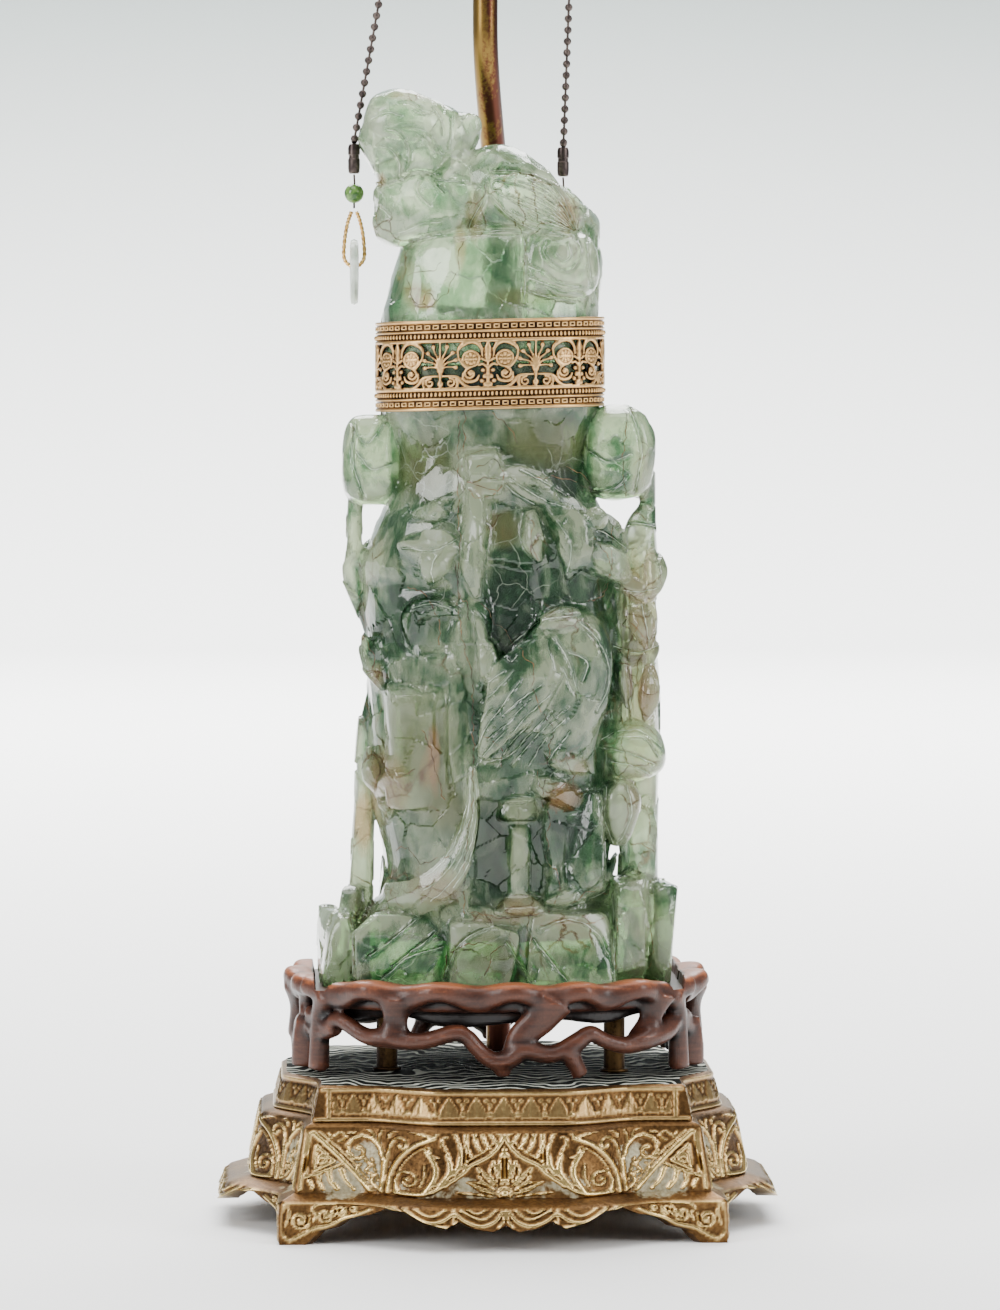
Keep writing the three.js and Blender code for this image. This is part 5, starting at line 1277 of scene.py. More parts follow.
def gallery_piece():
    columns, rows = gallery_columns * gallery_repeats, gallery_rows
    level, rise, solid, repeat = gallery_mesh()
    # Where the openwork's edge passes between points, the outer ones are drawn in onto it.
    step_u = gallery_pitch / gallery_columns
    step_v = (gallery_top - gallery_foot) / (gallery_rows - 1)
    field = np.clip(solid, -2, 0.6)
    slope_u = (np.roll(field, -1, 0) - np.roll(field, 1, 0)) / (2 * step_u)
    slope_v = np.gradient(field, step_v, axis=1)
    steep = np.maximum(slope_u**2 + slope_v**2, 0.05)
    beyond = (solid < 0) & (solid > -1.5)
    pull = np.where(beyond, -field / steep, 0)
    du, dv = np.clip(pull * slope_u, -step_u, step_u), np.clip(pull * slope_v, -step_v, step_v)
    level = level + dv
    x, y, nx, ny = gallery_way(repeat + du / gallery_pitch)
    out = np.stack([x * gallery_half[0] + nx * (rise - 0.6), y * gallery_half[1] + ny * (rise - 0.6)], -1)
    side = np.stack([x * gallery_half[0] - nx * 1.4, y * gallery_half[1] - ny * 1.4], -1)
    tall = vase_mouth + level
    front = np.concatenate([out, (tall + out[..., 0] * mouth_lean)[..., None]], -1)
    behind = np.concatenate([side, (tall + side[..., 0] * mouth_lean)[..., None]], -1)
    points = np.concatenate([front.reshape(-1, 3), behind.reshape(-1, 3)])
    points[:, 0] += lid_shift
    i, j = np.meshgrid(np.arange(columns), np.arange(rows - 1), indexing="ij")
    n = (i + 1) % columns
    a, b, c, d = i * rows + j, n * rows + j, n * rows + j + 1, i * rows + j + 1
    keep = (solid.ravel()[a] > 0) | (solid.ravel()[b] > 0) | (solid.ravel()[c] > 0) | (solid.ravel()[d] > 0)
    quads = np.stack([a, b, c, d], -1)[keep]
    shift = columns * rows
    inner = quads[:, ::-1] + shift
    # walls along every open edge
    edges = np.concatenate([quads[:, [0, 1]], quads[:, [1, 2]], quads[:, [2, 3]], quads[:, [3, 0]]])
    key = edges[:, 0] * (2 * shift) + edges[:, 1]
    back_key = edges[:, 1] * (2 * shift) + edges[:, 0]
    rim = edges[~np.isin(key, back_key)]
    walls = np.stack([rim[:, 1], rim[:, 0], rim[:, 0] + shift, rim[:, 1] + shift], 1)
    faces = np.concatenate([quads, inner, walls])
    used = np.unique(faces)
    place = np.full(len(points), -1)
    place[used] = np.arange(len(used))
    thing = new_object("pierced_band", points[used], place[faces].tolist())
    write_level(thing, "metal_rise_and_shade", np.concatenate([rise.ravel(), np.zeros(shift)])[used])
    set_in_metres(thing)
    return thing


def gilt_material():
    """Old gilding: rose gold on the crests, brown in the hollows; on the beads and little frames the same
    attribute holds painted shade, gold on their fronts and brown behind.
    """
    gilding = Finish("antique_gilt")
    rise = gilding.node("Attribute", "Fac", attribute_name="metal_rise_and_shade")
    colour = gilding.ramp(gilding.plus(rise, gilding.noise(240, 4), 0.45), (0.3, (0.03, 0.014, 0.006)),
                          (0.7, (0.3, 0.165, 0.065)), (1.0, (0.7, 0.43, 0.17)))
    return gilding.surface({"Base Color": colour, "Metallic": 0.9, "Roughness": 0.34})


def along_gallery(name, repeats, level, points, faces, rise):
    """Copies of a small form set along the band: [along, out, up] in millimetres from its middle."""
    x, y, nx, ny = gallery_way(repeats)
    points = np.array(points, float)
    out = points[None, :, 1]
    px = (x * gallery_half[0])[:, None] + nx[:, None] * out - ny[:, None] * points[None, :, 0]
    py = (y * gallery_half[1])[:, None] + ny[:, None] * out + nx[:, None] * points[None, :, 0]
    pz = vase_mouth + level + points[None, :, 2] + px * mouth_lean
    grid = np.stack([px + lid_shift, py, pz + 0 * px], 2)
    count = len(points)
    every = [[corner + k * count for corner in face] for k in range(len(repeats)) for face in faces]
    thing = new_object(name, grid.reshape(-1, 3), every)
    write_level(thing, "metal_rise_and_shade", np.tile(np.asarray(rise, float), len(repeats)))
    set_in_metres(thing)
    thing.data.materials.append(gilt)
    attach(thing, "root")
    return thing


gilt = gilt_material()
gallery = gallery_piece()
gallery.data.materials.append(gilt)
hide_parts("pierced_gallery")
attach(gallery, "root")
turn = full_turn(8)
bead_rings = np.array([[0.62 * math.cos(a) * np.cos(turn), 0.85 * math.cos(a) * np.sin(turn) - 0.2,
                        np.full(8, 1.0 * math.sin(a))] for a in np.radians([-75, -35, 0, 35, 75])])
bead_points, bead_faces = closed_surface(bead_rings.transpose(0, 2, 1))
# Painted shade: each bead is gold on its outer half and brown on the half towards the band.
bead_shade = 0.25 + 0.75 * np.clip(bead_points[:, 1] / 0.6, 0, 1)
bead_spots = np.arange(22 * gallery_repeats) / 22
along_gallery("upper_beads", bead_spots, 11.2, bead_points, bead_faces, bead_shade)
along_gallery("lower_beads", bead_spots, -11.7, bead_points, bead_faces, bead_shade)
frame_x, frame_z = np.array([1.3, 1.12, 0.82, 0.7]), np.array([0.95, 0.78, 0.48, 0.36])
frame_out = np.array([-0.9, 0.12, 0.12, -0.35])
corners = np.array([[-1, -1], [1, -1], [1, 1], [-1, 1]])
frame_rings = np.stack([np.stack([corners[:, 0] * w, np.full(4, o), corners[:, 1] * h], 1)
                        for w, h, o in zip(frame_x, frame_z, frame_out)])
frame_points, frame_faces = closed_surface(frame_rings)
# Painted shade: each little frame is gold on its front face and brown on its sides and back.
frame_shade = np.concatenate([np.repeat([0.1, 0.95, 0.95, 0.1], 4), [0.1, 0.1]])
frame_spots = np.arange(11 * gallery_repeats) / 11
along_gallery("upper_frames", frame_spots, 14.9, frame_points, frame_faces, frame_shade)
along_gallery("lower_frames", frame_spots, -15.4, frame_points, frame_faces, frame_shade)


# Wood stand. A rosewood board on an apron carved as roots: a lobed rim, struts, a wandering lower
# rail and small feet, all one piece of wood, waxed and worn lighter on its upper edges, with painted
# light on the faces that look up and painted shade inside the apron and on the faces that look down.

stand_squareness = 2.5
stand_middle = (78.6, 66.6)  # half sizes of the line midway through the apron
stand_front_rail = [
    [-74, 84.5], [-67.5, 80.6], [-63.3, 83.3], [-53.2, 77.8], [-45.8, 77.4], [-32.2, 76.3], [-18.6, 79.8],
    [-13.6, 78.6], [-7.8, 72], [-2.3, 68.6], [3.1, 69.7], [8.5, 73.2], [19.4, 71.3], [28.3, 75.1],
    [33, 78.6],
    [35.7, 79], [41.1, 75.9], [49.3, 73.8], [57.5, 76.3], [65.6, 78.6], [70.7, 82.6], [74.6, 78.5],
]
stand_front_rail_wide = [3, 2.6, 2.6, 2.8, 3.4, 2.9, 2.9, 2.8, 2.8, 3.1, 3.4, 3.6, 3.0, 3.3, 2.9, 2.8,
                         2.6, 3, 4, 3.6, 2.6, 3]
# Along each end: place from the middle towards the front, height.
stand_end_rail = [[46, 80], [34, 84], [26, 78], [16, 72.5], [6, 70], [-4, 73], [-14, 79], [-24, 81],
                  [-36, 77], [-46, 80]]


def stand_front(x, z, out=0.0, side=-1):
    half = np.array(stand_middle) + out
    share = min(abs(x) / half[0], 0.999)
    return [x, side * half[1] * (1 - share**stand_squareness) ** (1 / stand_squareness), z]


def stand_end(y, z, out=0.0, side=1):
    half = np.array(stand_middle) + out
    share = min(abs(y) / half[1], 0.999)
    return [side * half[0] * (1 - share**stand_squareness) ** (1 / stand_squareness), y, z]


def closed_grid(rows, columns):
    """Four-sided faces of a grid of points whose last row and column meet the first ones."""
    r, c = np.meshgrid(np.arange(rows), np.arange(columns), indexing="ij")
    n, m = (r + 1) % rows, (c + 1) % columns
    corners = [r * columns + c, r * columns + m, n * columns + m, n * columns + c]
    return np.stack(corners, 2).reshape(-1, 4)


def stand_rim():
    """Closed bar round the board; lobes every 26 mm lift it, push it out and draw it in."""
    x, y = squared_circle(full_turn(360), stand_squareness)
    way = np.cumsum(np.hypot(78 * np.diff(x, append=x[0]), 66 * np.diff(y, append=y[0])))
    lows = np.array([-89, -62, -38.6, -8.7, 17.8, 40.7, 63, 88.0])
    lobe = np.where(y < -0.5, np.interp(78 * x, lows, np.arange(8)), way / way[-1] * 17)
    lobe = np.cos(2 * math.pi * lobe)
    out = 0.6 - 1.7 * lobe
    across = full_turn(20)
    bend = np.abs(np.cos(across)) ** 0.8 * np.sign(np.cos(across))
    lift = np.abs(np.sin(across)) ** 0.8 * np.sign(np.sin(across))
    reach = out[:, None] + np.where(bend > 0, 4.6, 9) * bend
    tall = 94.4 - 0.9 * lobe[:, None] + np.where(lift > 0, 4.7, 4.6 + 1.4 * lobe[:, None]) * lift
    ring = np.stack([x[:, None] * (stand_middle[0] + reach), y[:, None] * (stand_middle[1] + reach),
                     tall], 2)
    return ring.reshape(-1, 3), closed_grid(360, 20)[:, [0, 3, 2, 1]].tolist()


def stand_board():
    """Oval board: wavy edge under the rim, with a shallow oval recess for the stone."""
    x, y = squared_circle(full_turn(120), stand_squareness)
    levels = [(76.6, 64.6, 87.4), (77.6, 65.6, 90), (77.6, 65.6, 97.4), (74.5, 50, 97),
              (73.6, 47.6, 94.4)]
    rings = np.stack([np.stack([x * w, y * d, np.full(120, z)], 1) for w, d, z in levels])
    return closed_surface(rings)


def stand_inner_wall():
    """Wavy wall that hangs from the board behind the windows: up inside, down, and up outside."""
    turn = full_turn(240)
    x, y = squared_circle(turn, stand_squareness)
    low = 82.6 + 1.5 * np.cos(9 * turn) + 0.6 * np.sin(5 * turn)
    levels = [(66, 54, 90 + 0 * low), (66, 54, low + 1), (69, 57, low), (72, 60, low + 1),
              (72, 60, 90 + 0 * low)]
    return closed_surface(np.stack([np.stack([x * w, y * d, z], 1) for w, d, z in levels]))


def stand_forms():
    forms = [stand_rim(), stand_board(), stand_inner_wall()]

    def bar_along(points, wide, front=True, side=-1, flat=1.15):
        place = stand_front if front else stand_end
        return limb([place(a, z, 0, side) for a, z in points], wide, flat)

    for side in (-1, 1):
        mirror = 1 if side < 0 else -1

        def flip(rows):
            return [[mirror * a, z] for a, z in rows]

        rail = flip(stand_front_rail)
        for start in range(0, 21, 7):
            wide = [1.2 * w for w in stand_front_rail_wide[start:start + 8]]
            forms.append(bar_along(rail[start:start + 8], wide, True, side, 1.2))
        forms.append(bar_along(flip([[-40.5, 93], [-41.4, 84.5], [-42, 77]]), [9.0, 5.0, 8], True, side,
                               0.62))
        forms.append(bar_along(flip([[19.5, 93], [14.5, 85], [7.5, 78], [6, 71]]), [9.5, 6.8, 5.6, 6],
                               True, side, 0.62))
        forms.append(bar_along(flip([[60.5, 93], [59.2, 84.5], [57.5, 76.5]]), [9.0, 4.8, 7.5], True,
                               side, 0.62))
        forms.append(bar_along(flip([[-75, 93], [-76, 88], [-75.4, 83]]), [4, 3.2, 3.6], True, side))
        # feet
        forms.append(bar_along(flip([[-2, 69], [0.4, 64.5], [0.8, 62.6]]), [4, 3.0, 3.0], True, side))
        forms.append(bar_along(flip([[25.5, 73], [29.5, 66], [31, 62.4]]), [4.4, 3.4, 3.4], True, side))
        # ends
        end_rail = [[-side * a, z] for a, z in stand_end_rail]
        forms.append(bar_along(end_rail[:6], [3.4, 3, 3, 3.4, 3.4, 3], False, side))
        forms.append(bar_along(end_rail[5:], [3, 3, 3, 3.4, 3.4], False, side))
        for y in (40, -42):
            strut = [[y, 93], [y * 0.9, 84], [y * 0.86, 62.4]]
            forms.append(bar_along(strut, [5.5, 4, 4.4], False, side))
        forms.append(bar_along([[-2, 93], [2, 84], [5, 72]], [7, 4.2, 5.2], False, side))
        forms.append(bar_along([[6, 71], [4, 62.6]], [4, 3.2], False, side))
        # broad legs at the corners, flat against the base
        for hand in (-1, 1):
            forms.append(bar_along([[hand * 27, 82], [hand * 26, 72], [hand * 25, 62.6]], [5.2, 6.4, 6.4],
                                   False, side, 0.7))
    return forms


def wood_material():
    """Rosewood: dark streaks along X, orange where the upper edges are worn and, as painted light, on the
    faces that look up; near black inside the apron and darker underneath as painted shade.
    """
    wood = Finish("rosewood_waxed")
    streak = wood.noise(420, 6, (0.16, 0.5, 1), 0.6)
    value = wood.plus(wood.plus(wood.marks("wood_wear_and_shading")[0], streak, 0.5), wood.noise(900, 3), 0.2)
    colour = wood.ramp(value, (0.36, (0.005, 0.003, 0.003)), (0.55, (0.034, 0.01, 0.005)),
                       (0.78, (0.08, 0.024, 0.011)), (1.0, (0.27, 0.078, 0.026)))
    return wood.surface({
        "Base Color": colour, "Roughness": 0.42, "Specular IOR Level": 0.3, "Coat Weight": 0.2,
        "Coat Roughness": 0.2, "Normal": wood.bump(streak, 0.25, 0.0004)})


def carved_stand():
    points, faces = merged(stand_forms())
    thing = new_object("carved_stand", points, faces)
    fuse(thing, 0.9, 10)
    points = points_of(thing)
    points[:, 2] = np.clip(points[:, 2], 60.3, 99.6)
    in_recess = (np.abs(points[:, 0]) < 73) & (np.abs(points[:, 1]) < 47) & (points[:, 2] > 91)
    points[in_recess, 2] = np.minimum(points[in_recess, 2], 94.5)
    move_points(thing, points)
    thin_out(thing, 90000)
    points, normals, out = points_of(thing), normals_of(thing), bulge_of(thing, 8)
    reach = (np.abs(points[:, 0] / 74) ** 2.5 + np.abs(points[:, 1] / 62) ** 2.5) ** 0.4
    # Wear with painted light and shade: lighter where the wood bulges as worn edges, darker in its hollows,
    # lighter on faces that look up as painted light; near black inside the apron under the board and darker
    # on faces that look down as painted shade.
    wear_and_shading = 0.18 + 0.3 * smoothstep(normals[:, 2], 0.1, 0.9) * (points[:, 2] > 92) + np.clip(out * 0.5,
            -0.2, 0.22)
    wear_and_shading -= 0.5 * (1 - smoothstep(reach, 0.97, 1.02)) * (points[:, 2] < 93)
    wear_and_shading -= 0.12 * smoothstep(-normals[:, 2], 0.1, 0.8)
    write_level(thing, "wood_wear_and_shading", np.clip(wear_and_shading, 0, 1))
    set_in_metres(thing)
    return thing


stand = carved_stand()
stand.data.materials.append(wood_material())
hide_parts("wood_stand")
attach(stand, "root")


# Pipe. 3/8 inch brass lamp pipe behind the vase, bent in over the lid; lacquer gone, gold with
# streaks of red-brown patina, darker and redder towards its right side.

stem_radius = 5.0
stem_foot_place, stem_top_place = np.array([2.9, 52.0]), np.array([-3.8, 12.0])


def tube(path, radius, around=40):
    """Round bar along a curve of many points; the radius may change from point to point."""
    path = np.asarray(path, float)
    radius = np.broadcast_to(radius, len(path))
    way = along(path)
    side = np.cross(way, [0.3, 1, 0.02])
    side /= np.linalg.norm(side, axis=1, keepdims=True)
    out = np.cross(side, way)
    turn = full_turn(around)[None, :, None]
    ring = side[:, None] * np.cos(turn) + out[:, None] * np.sin(turn)
    return closed_surface(path[:, None] + ring * radius[:, None, None])


def turned_form(profile, around=48):
    """Turned form about the upright axis from rows of [radius, height]; both ends lie on the axis."""
    rows = np.array(profile, float)
    turn = full_turn(around)
    x, y = rows[:, :1] * np.cos(turn), rows[:, :1] * np.sin(turn)
    return closed_surface(np.stack([x, y, np.repeat(rows[:, 1:], around, 1)], 2)[1:-1])


def put(surface, name, node, material, spot=(0, 0, 0), sharp=35):
    points, faces = surface
    thing = new_object(name, (points + np.array(spot, float)) * MM, faces)
    thing.data.set_sharp_from_angle(angle=math.radians(sharp))
    thing.data.materials.append(material)
    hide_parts(node)
    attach(thing, "root")
    return thing


def stem_path():
    z = np.concatenate([[49, 390], np.linspace(392, 476, 40), [480, 522]])
    share = smoothstep(z, 392, 476)[:, None]
    place = stem_foot_place * (1 - share) + stem_top_place * share
    return np.concatenate([place, z[:, None]], 1)


def brass_material(name, gold, patina, share, rough, streak=(1, 1, 0.12), side=0.0):
    """Worn brass: gold with a darker patina in streaks and specks, and the darker colour more towards +X
    with side.
    """
    metal = Finish(name)
    value = metal.plus(metal.noise(190, 6, streak), metal.noise(900, 4), 0.35)
    value = metal.plus(value, metal.node("SeparateXYZ", "X", {"Vector": metal.place}), side)
    colour = metal.ramp(value, (share - 0.07, gold), (share + 0.1, patina))
    return metal.surface({"Base Color": colour, "Metallic": 1, "Roughness": rough})


stem_metal = brass_material("stem_brass_worn", (0.21, 0.13, 0.035), (0.085, 0.03, 0.02), 0.56, 0.33,
                            (1, 1, 0.1), 46)
pipe_metal = brass_material("pipe_brass_dull", (0.42, 0.28, 0.1), (0.13, 0.07, 0.03), 0.74, 0.33)
dark_post_metal = brass_material("post_brass_dark", (0.1, 0.058, 0.024), (0.03, 0.017, 0.01), 0.62, 0.5)
put(tube(stem_path(), stem_radius), "bent_pipe", "stem_pipe", stem_metal)


# Posts. Two short brass tubes stand on the base's top and carry the board of the stand, each with
# a thin washer at its foot.

post_places = ((-44, -19), (46, -29))
for number, (x, y) in enumerate(post_places, 1):
    post = turned_form([(0, 60.3), (0, 60.3), (5.6, 60.3), (5.8, 60.9), (5.6, 61.5), (4.2, 61.7),
                        (4.2, 86.4),
                        (3.9, 86.7), (0, 86.7), (0, 86.7)])
    put(post, f"post_{number}", f"support_post_{number}", dark_post_metal, (x, y, 0))


# Base. Hollow brass casting on four corner feet: a skirt with a scalloped edge, a tall panel and a
# low tier on each of four sides that step forward in the middle, all chased with foliage, and a
# flat top engraved with flowing lines. Gilding is worn to the ridges over a brown, greenish patina.

# Height, half width at the corner, how far the middle of a side stands out.
base_levels = np.array([
    [0, 87, 20], [9, 87, 24], [16, 86.6, 21.6], [17, 86, 21], [17.9, 84, 20], [19.5, 81, 18],
    [44, 77, 17],
    [44.8, 76.6, 16.6], [46, 74, 15], [59.2, 71.2, 14], [60, 70.4, 13.6],
])
base_hollow = np.array([[-3, 84, 20], [12, 83, 20], [16.5, 78, 17.5], [41, 74, 16], [57, 68, 14]])
skirt_edge = np.array([
    [0, 10.5], [5, 8], [13, 9.5], [18, 12], [23, 9.5], [31, 11.5], [38, 15], [46, 15.4], [52, 12.4],
    [61, 10.2],
    [66, 6.6], [72, 5.2], [75.5, 1.2], [77, 0],
])
columns_per_side = 210
panel_foot = 19.5

# The drawing of half a panel, from its middle out: strokes of [across, up] and half widths, in
# units of these sizes in millimetres.
drawing_across, panel_up, skirt_up = 0.0722, 0.0653, 0.0695
panel_strokes = [
    # frame, corner triangles and brace
    ([[1060, 380], [1078, 200], [1095, 20]], 12), ([[1060, 380], [900, 390], [700, 386], [520, 380],
                                                    [400, 352]], 9),
    ([[1036, 352], [1050, 220], [1062, 90]], 8), ([[1020, 352], [870, 200], [715, 22]], 15),
    ([[985, 356], [840, 215], [690, 40]], 6), ([[1062, 90], [960, 128], [872, 165]], 9),
    ([[1000, 275], [1017, 130]], 10), ([[1017, 130], [910, 182]], 10), ([[910, 182], [1000, 275]], 10),
    ([[978, 222], [992, 172], [952, 188], [978, 222]], 9),
    # gadroons under the triangle
    ([[1042, 70], [1030, 45], [1024, 20]], [12, 9]), ([[990, 100], [988, 60], [968, 18]], [13, 9]),
    ([[935, 125], [928, 70], [893, 18]], [16, 9]), ([[868, 132], [848, 75], [800, 18]], [16, 9]),
    ([[905, 60], [880, 18]], [8, 5]),
    # scrolls between brace and arch
    ([[655, 20], [640, 150], [650, 250], [700, 320], [770, 335], [825, 300], [835, 245], [800, 200],
      [760, 205],
      [745, 240], [768, 268]], [12, 11, 11, 10, 10, 9, 8]),
    ([[650, 60], [625, 200], [600, 300], [560, 335], [525, 320], [522, 285], [552, 275]], [9, 9, 8, 8]),
    ([[660, 230], [668, 320], [650, 368]], 7), ([[690, 300], [700, 350], [730, 372]], 6),
    ([[742, 200], [712, 165], [738, 130], [700, 110], [702, 70], [668, 26]], [9, 8, 9, 7]),
    ([[705, 205], [690, 150], [672, 80]], 7), ([[610, 330], [600, 360], [575, 372]], 6),
    ([[905, 335], [872, 352], [845, 325], [878, 300]], 8), ([[830, 348], [795, 352]], 7),
    ([[940, 350], [925, 325], [935, 305]], 6), ([[765, 170], [785, 150], [775, 125]], 7),
    # leafy arch
    ([[622, 18], [602, 130], [548, 230], [470, 300], [400, 332], [372, 346]], 13),
    ([[588, 30], [568, 130], [520, 212], [460, 268], [405, 296]], 5),
    ([[372, 346], [358, 374], [312, 384], [270, 374], [252, 345]], 9),
    ([[585, 22], [500, 16], [415, 22], [345, 60], [235, 130], [180, 190], [95, 230], [30, 300], [0, 360]],
     12),
    ([[415, 52], [330, 95], [240, 165], [190, 218], [112, 266], [45, 330]], 6),
    ([[560, 24], [580, 70], [566, 122], [522, 146], [482, 128], [470, 96], [492, 66], [526, 68],
      [540, 96], [518, 108]], [8, 9, 9, 8, 7]),
    ([[425, 30], [375, 110], [372, 190], [412, 255], [428, 282]], [16, 15, 12, 5]),
    ([[452, 60], [425, 130], [432, 190]], [8, 5]), ([[400, 285], [385, 240], [350, 230]], [9, 6]),
    ([[345, 70], [292, 150], [300, 230], [318, 296]], [16, 15, 12, 5]),
    ([[335, 300], [330, 340], [305, 352]], 8),
    ([[270, 140], [240, 200], [235, 290], [262, 352]], [15, 14, 11, 5]),
    ([[318, 60], [268, 110], [262, 150]], 6),
    ([[215, 160], [205, 240], [212, 300]], [8, 5]),
    # gadroons over the ogee
    ([[205, 368], [202, 300], [178, 240]], [13, 8]), ([[160, 370], [150, 310], [122, 262]], [13, 8]),
    ([[118, 370], [105, 325], [80, 285]], [12, 8]), ([[78, 372], [60, 342], [42, 318]], [11, 7]),
    ([[38, 374], [22, 362]], 8),
    # lotus
    ([[0, 292], [26, 200], [16, 84]], 8), ([[0, 262], [0, 100]], [5, 9]),
    ([[58, 214], [34, 150], [16, 80]], 7), ([[58, 214], [78, 150], [48, 76]], 7),
    ([[55, 180], [38, 90]], 5),
    ([[142, 174], [88, 124], [44, 72]], 7), ([[142, 174], [126, 108], [62, 52]], 7),
    ([[120, 140], [66, 74]], 5),
    ([[198, 92], [122, 86], [60, 46]], 7), ([[198, 92], [132, 48], [58, 26]], 7),
    ([[170, 78], [80, 42]], 5),
    ([[250, 30], [160, 22], [70, 10]], 6),
]
panel_bosses = [(780, 262, 17), (556, 292, 14), (516, 98, 13), (0, 26, 24), (738, 190, 10),
                (610, 350, 10)]
# The skirt's drawing, in the same way, up from the table.
skirt_strokes = [
    ([[1178, 236], [1000, 240], [800, 236], [730, 240], [640, 236], [560, 214], [470, 176]], 10),
    ([[1178, 236], [1196, 140], [1190, 60], [1150, 24]], 10),
    ([[1150, 24], [1100, 46], [1030, 88], [940, 108], [860, 148], [790, 172], [720, 206]], 12),
    ([[0, 120], [60, 100], [130, 94], [200, 118], [270, 126], [340, 142], [420, 152], [480, 178]], 12),
    ([[18, 222], [60, 170], [130, 146], [205, 168], [268, 212]], 10),
    ([[52, 228], [130, 182], [240, 228]], 7),
    ([[98, 240], [150, 212], [215, 240]], 6), ([[285, 208], [345, 172], [410, 166], [480, 196],
                                                [540, 232]], 10),
    ([[322, 232], [400, 198], [492, 238]], 7), ([[0, 236], [10, 180], [38, 140]], 8),
    ([[270, 160], [278, 228]], 8),
    ([[1170, 110], [1150, 170], [1160, 215]], 8), ([[1030, 200], [1000, 222], [900, 226]], 7),
    ([[1020, 130], [1010, 170], [1030, 196]], 7), ([[905, 160], [915, 190], [900, 214]], 6),
]
skirt_scrolls = [(1092, 138, 58, 10), (962, 164, 44, 9), (872, 190, 33, 8), (806, 205, 22, 6)]


def crest(stroke):
    """Round top of a stroke: 0 outside it, 1 along its middle."""
    inside = np.clip(stroke, 0, 1)
    return np.sqrt(inside * (2 - inside))


def panel_relief(x, z):
    """Rise of the chasing in millimetres on a panel: x from the middle of the side, z over the table."""
    u, v = np.abs(x) / drawing_across, (z - panel_foot) / panel_up
    rise = np.zeros(x.shape)
    for path, wide in panel_strokes:
        wide = wide if isinstance(wide, list) else [wide]
        rise = np.maximum(rise, crest(bar(u, v, path, np.array(wide) * 1.15)) * (0.8 + 0.02 * max(wide)))
    for place_u, place_v, radius in panel_bosses:
        rise = np.maximum(rise, crest(ball(u, v, (place_u, place_v), radius)) * 1.15)
    ring = 1 - np.abs(np.hypot(u, v - 26) - 36) / 9
    rise = np.maximum(rise, crest(ring) * 0.9)
    return rise


def skirt_relief(x, z):
    u, v = np.abs(x) / drawing_across, z / skirt_up
    rise = np.zeros(x.shape)
    for path, wide in skirt_strokes:
        rise = np.maximum(rise, crest(bar(u, v, path, np.array([wide]) * 1.1)) * 0.95)
    for place_u, place_v, radius, wide in skirt_scrolls:
        path = scroll((place_u, place_v), radius, 150, 500, 0.28)
        rise = np.maximum(rise, crest(bar(u, v, path, np.array([wide]), 26)) * 0.95)
        rise = np.maximum(rise, crest(ball(u, v, (place_u, place_v), radius * 0.26)) * 1.1)
    return rise


def tier_relief(x, z):
    """Band of upright lotus leaves between plain fillets: leaves 10.6 mm apart in the middle, 8.4 beyond."""
    far = np.abs(x)
    place = np.where(far < 37, far / 10.6, (far - 37) / 8.4 + 0.5)
    phase = (place + 0.5) % 1 - 0.5
    up = (z - 48.6) / 8.6
    body = 1 - np.abs(phase) / np.maximum(0.40 * (1 - np.clip(up, 0, 1) ** 1.6), 0.02)
    leaf_part = crest(np.clip(body * 1.4, 0, 1)) * (up > 0.02) * (up < 1)
    edge = np.abs(body - 0.12) < 0.13
    rib = np.abs(phase) < 0.035
    bead_low = crest(1 - np.hypot((np.abs(phase) - 0.5) * 9.5, z - 50.4) / 1.3)
    bead_high = crest(1 - np.hypot((np.abs(phase) - 0.36) * 9.5, z - 55.6) / 0.9)
    spray = crest(1 - np.abs((np.abs(phase) - 0.5) * 9.5 - 0.3 * np.sin(z)) / 0.6) * (z > 51.5) * (z < 55)
    rise = 0.45 * leaf_part + 0.3 * edge * (up > 0) * (up < 1) + 0.2 * rib * (up > 0.1) * (up < 0.9)
    rise = np.maximum(rise, np.maximum(0.75 * bead_low, np.maximum(0.6 * bead_high, 0.6 * spray)))
    inside = (z > 48) & (z < 57.6) & (far < 66)
    frame_line = crest(1 - np.abs(z - 58.6) / 1.0) + crest(1 - np.abs(z - 47.1) / 0.8)
    frame_line = np.maximum(frame_line, crest(1 - np.abs(far - 67.6) / 1.0))
    return np.where(inside, rise, 0) + 0.7 * np.clip(frame_line, 0, 1)


def side_shape(share, z, levels):
    """Across and out on one side: out = corner + bulge * (0.5 + 0.5 cos(pi * k)), k from 0 to 1
    between 0.3 and 0.75 of the way to the corner."""
    corner, bulge = np.interp(z, levels[:, 0], levels[:, 1]), np.interp(z, levels[:, 0], levels[:, 2])
    k = np.clip((np.abs(share) - 0.3) / 0.45, 0, 1)
    return share * corner, corner + bulge * (0.5 + 0.5 * np.cos(math.pi * k))


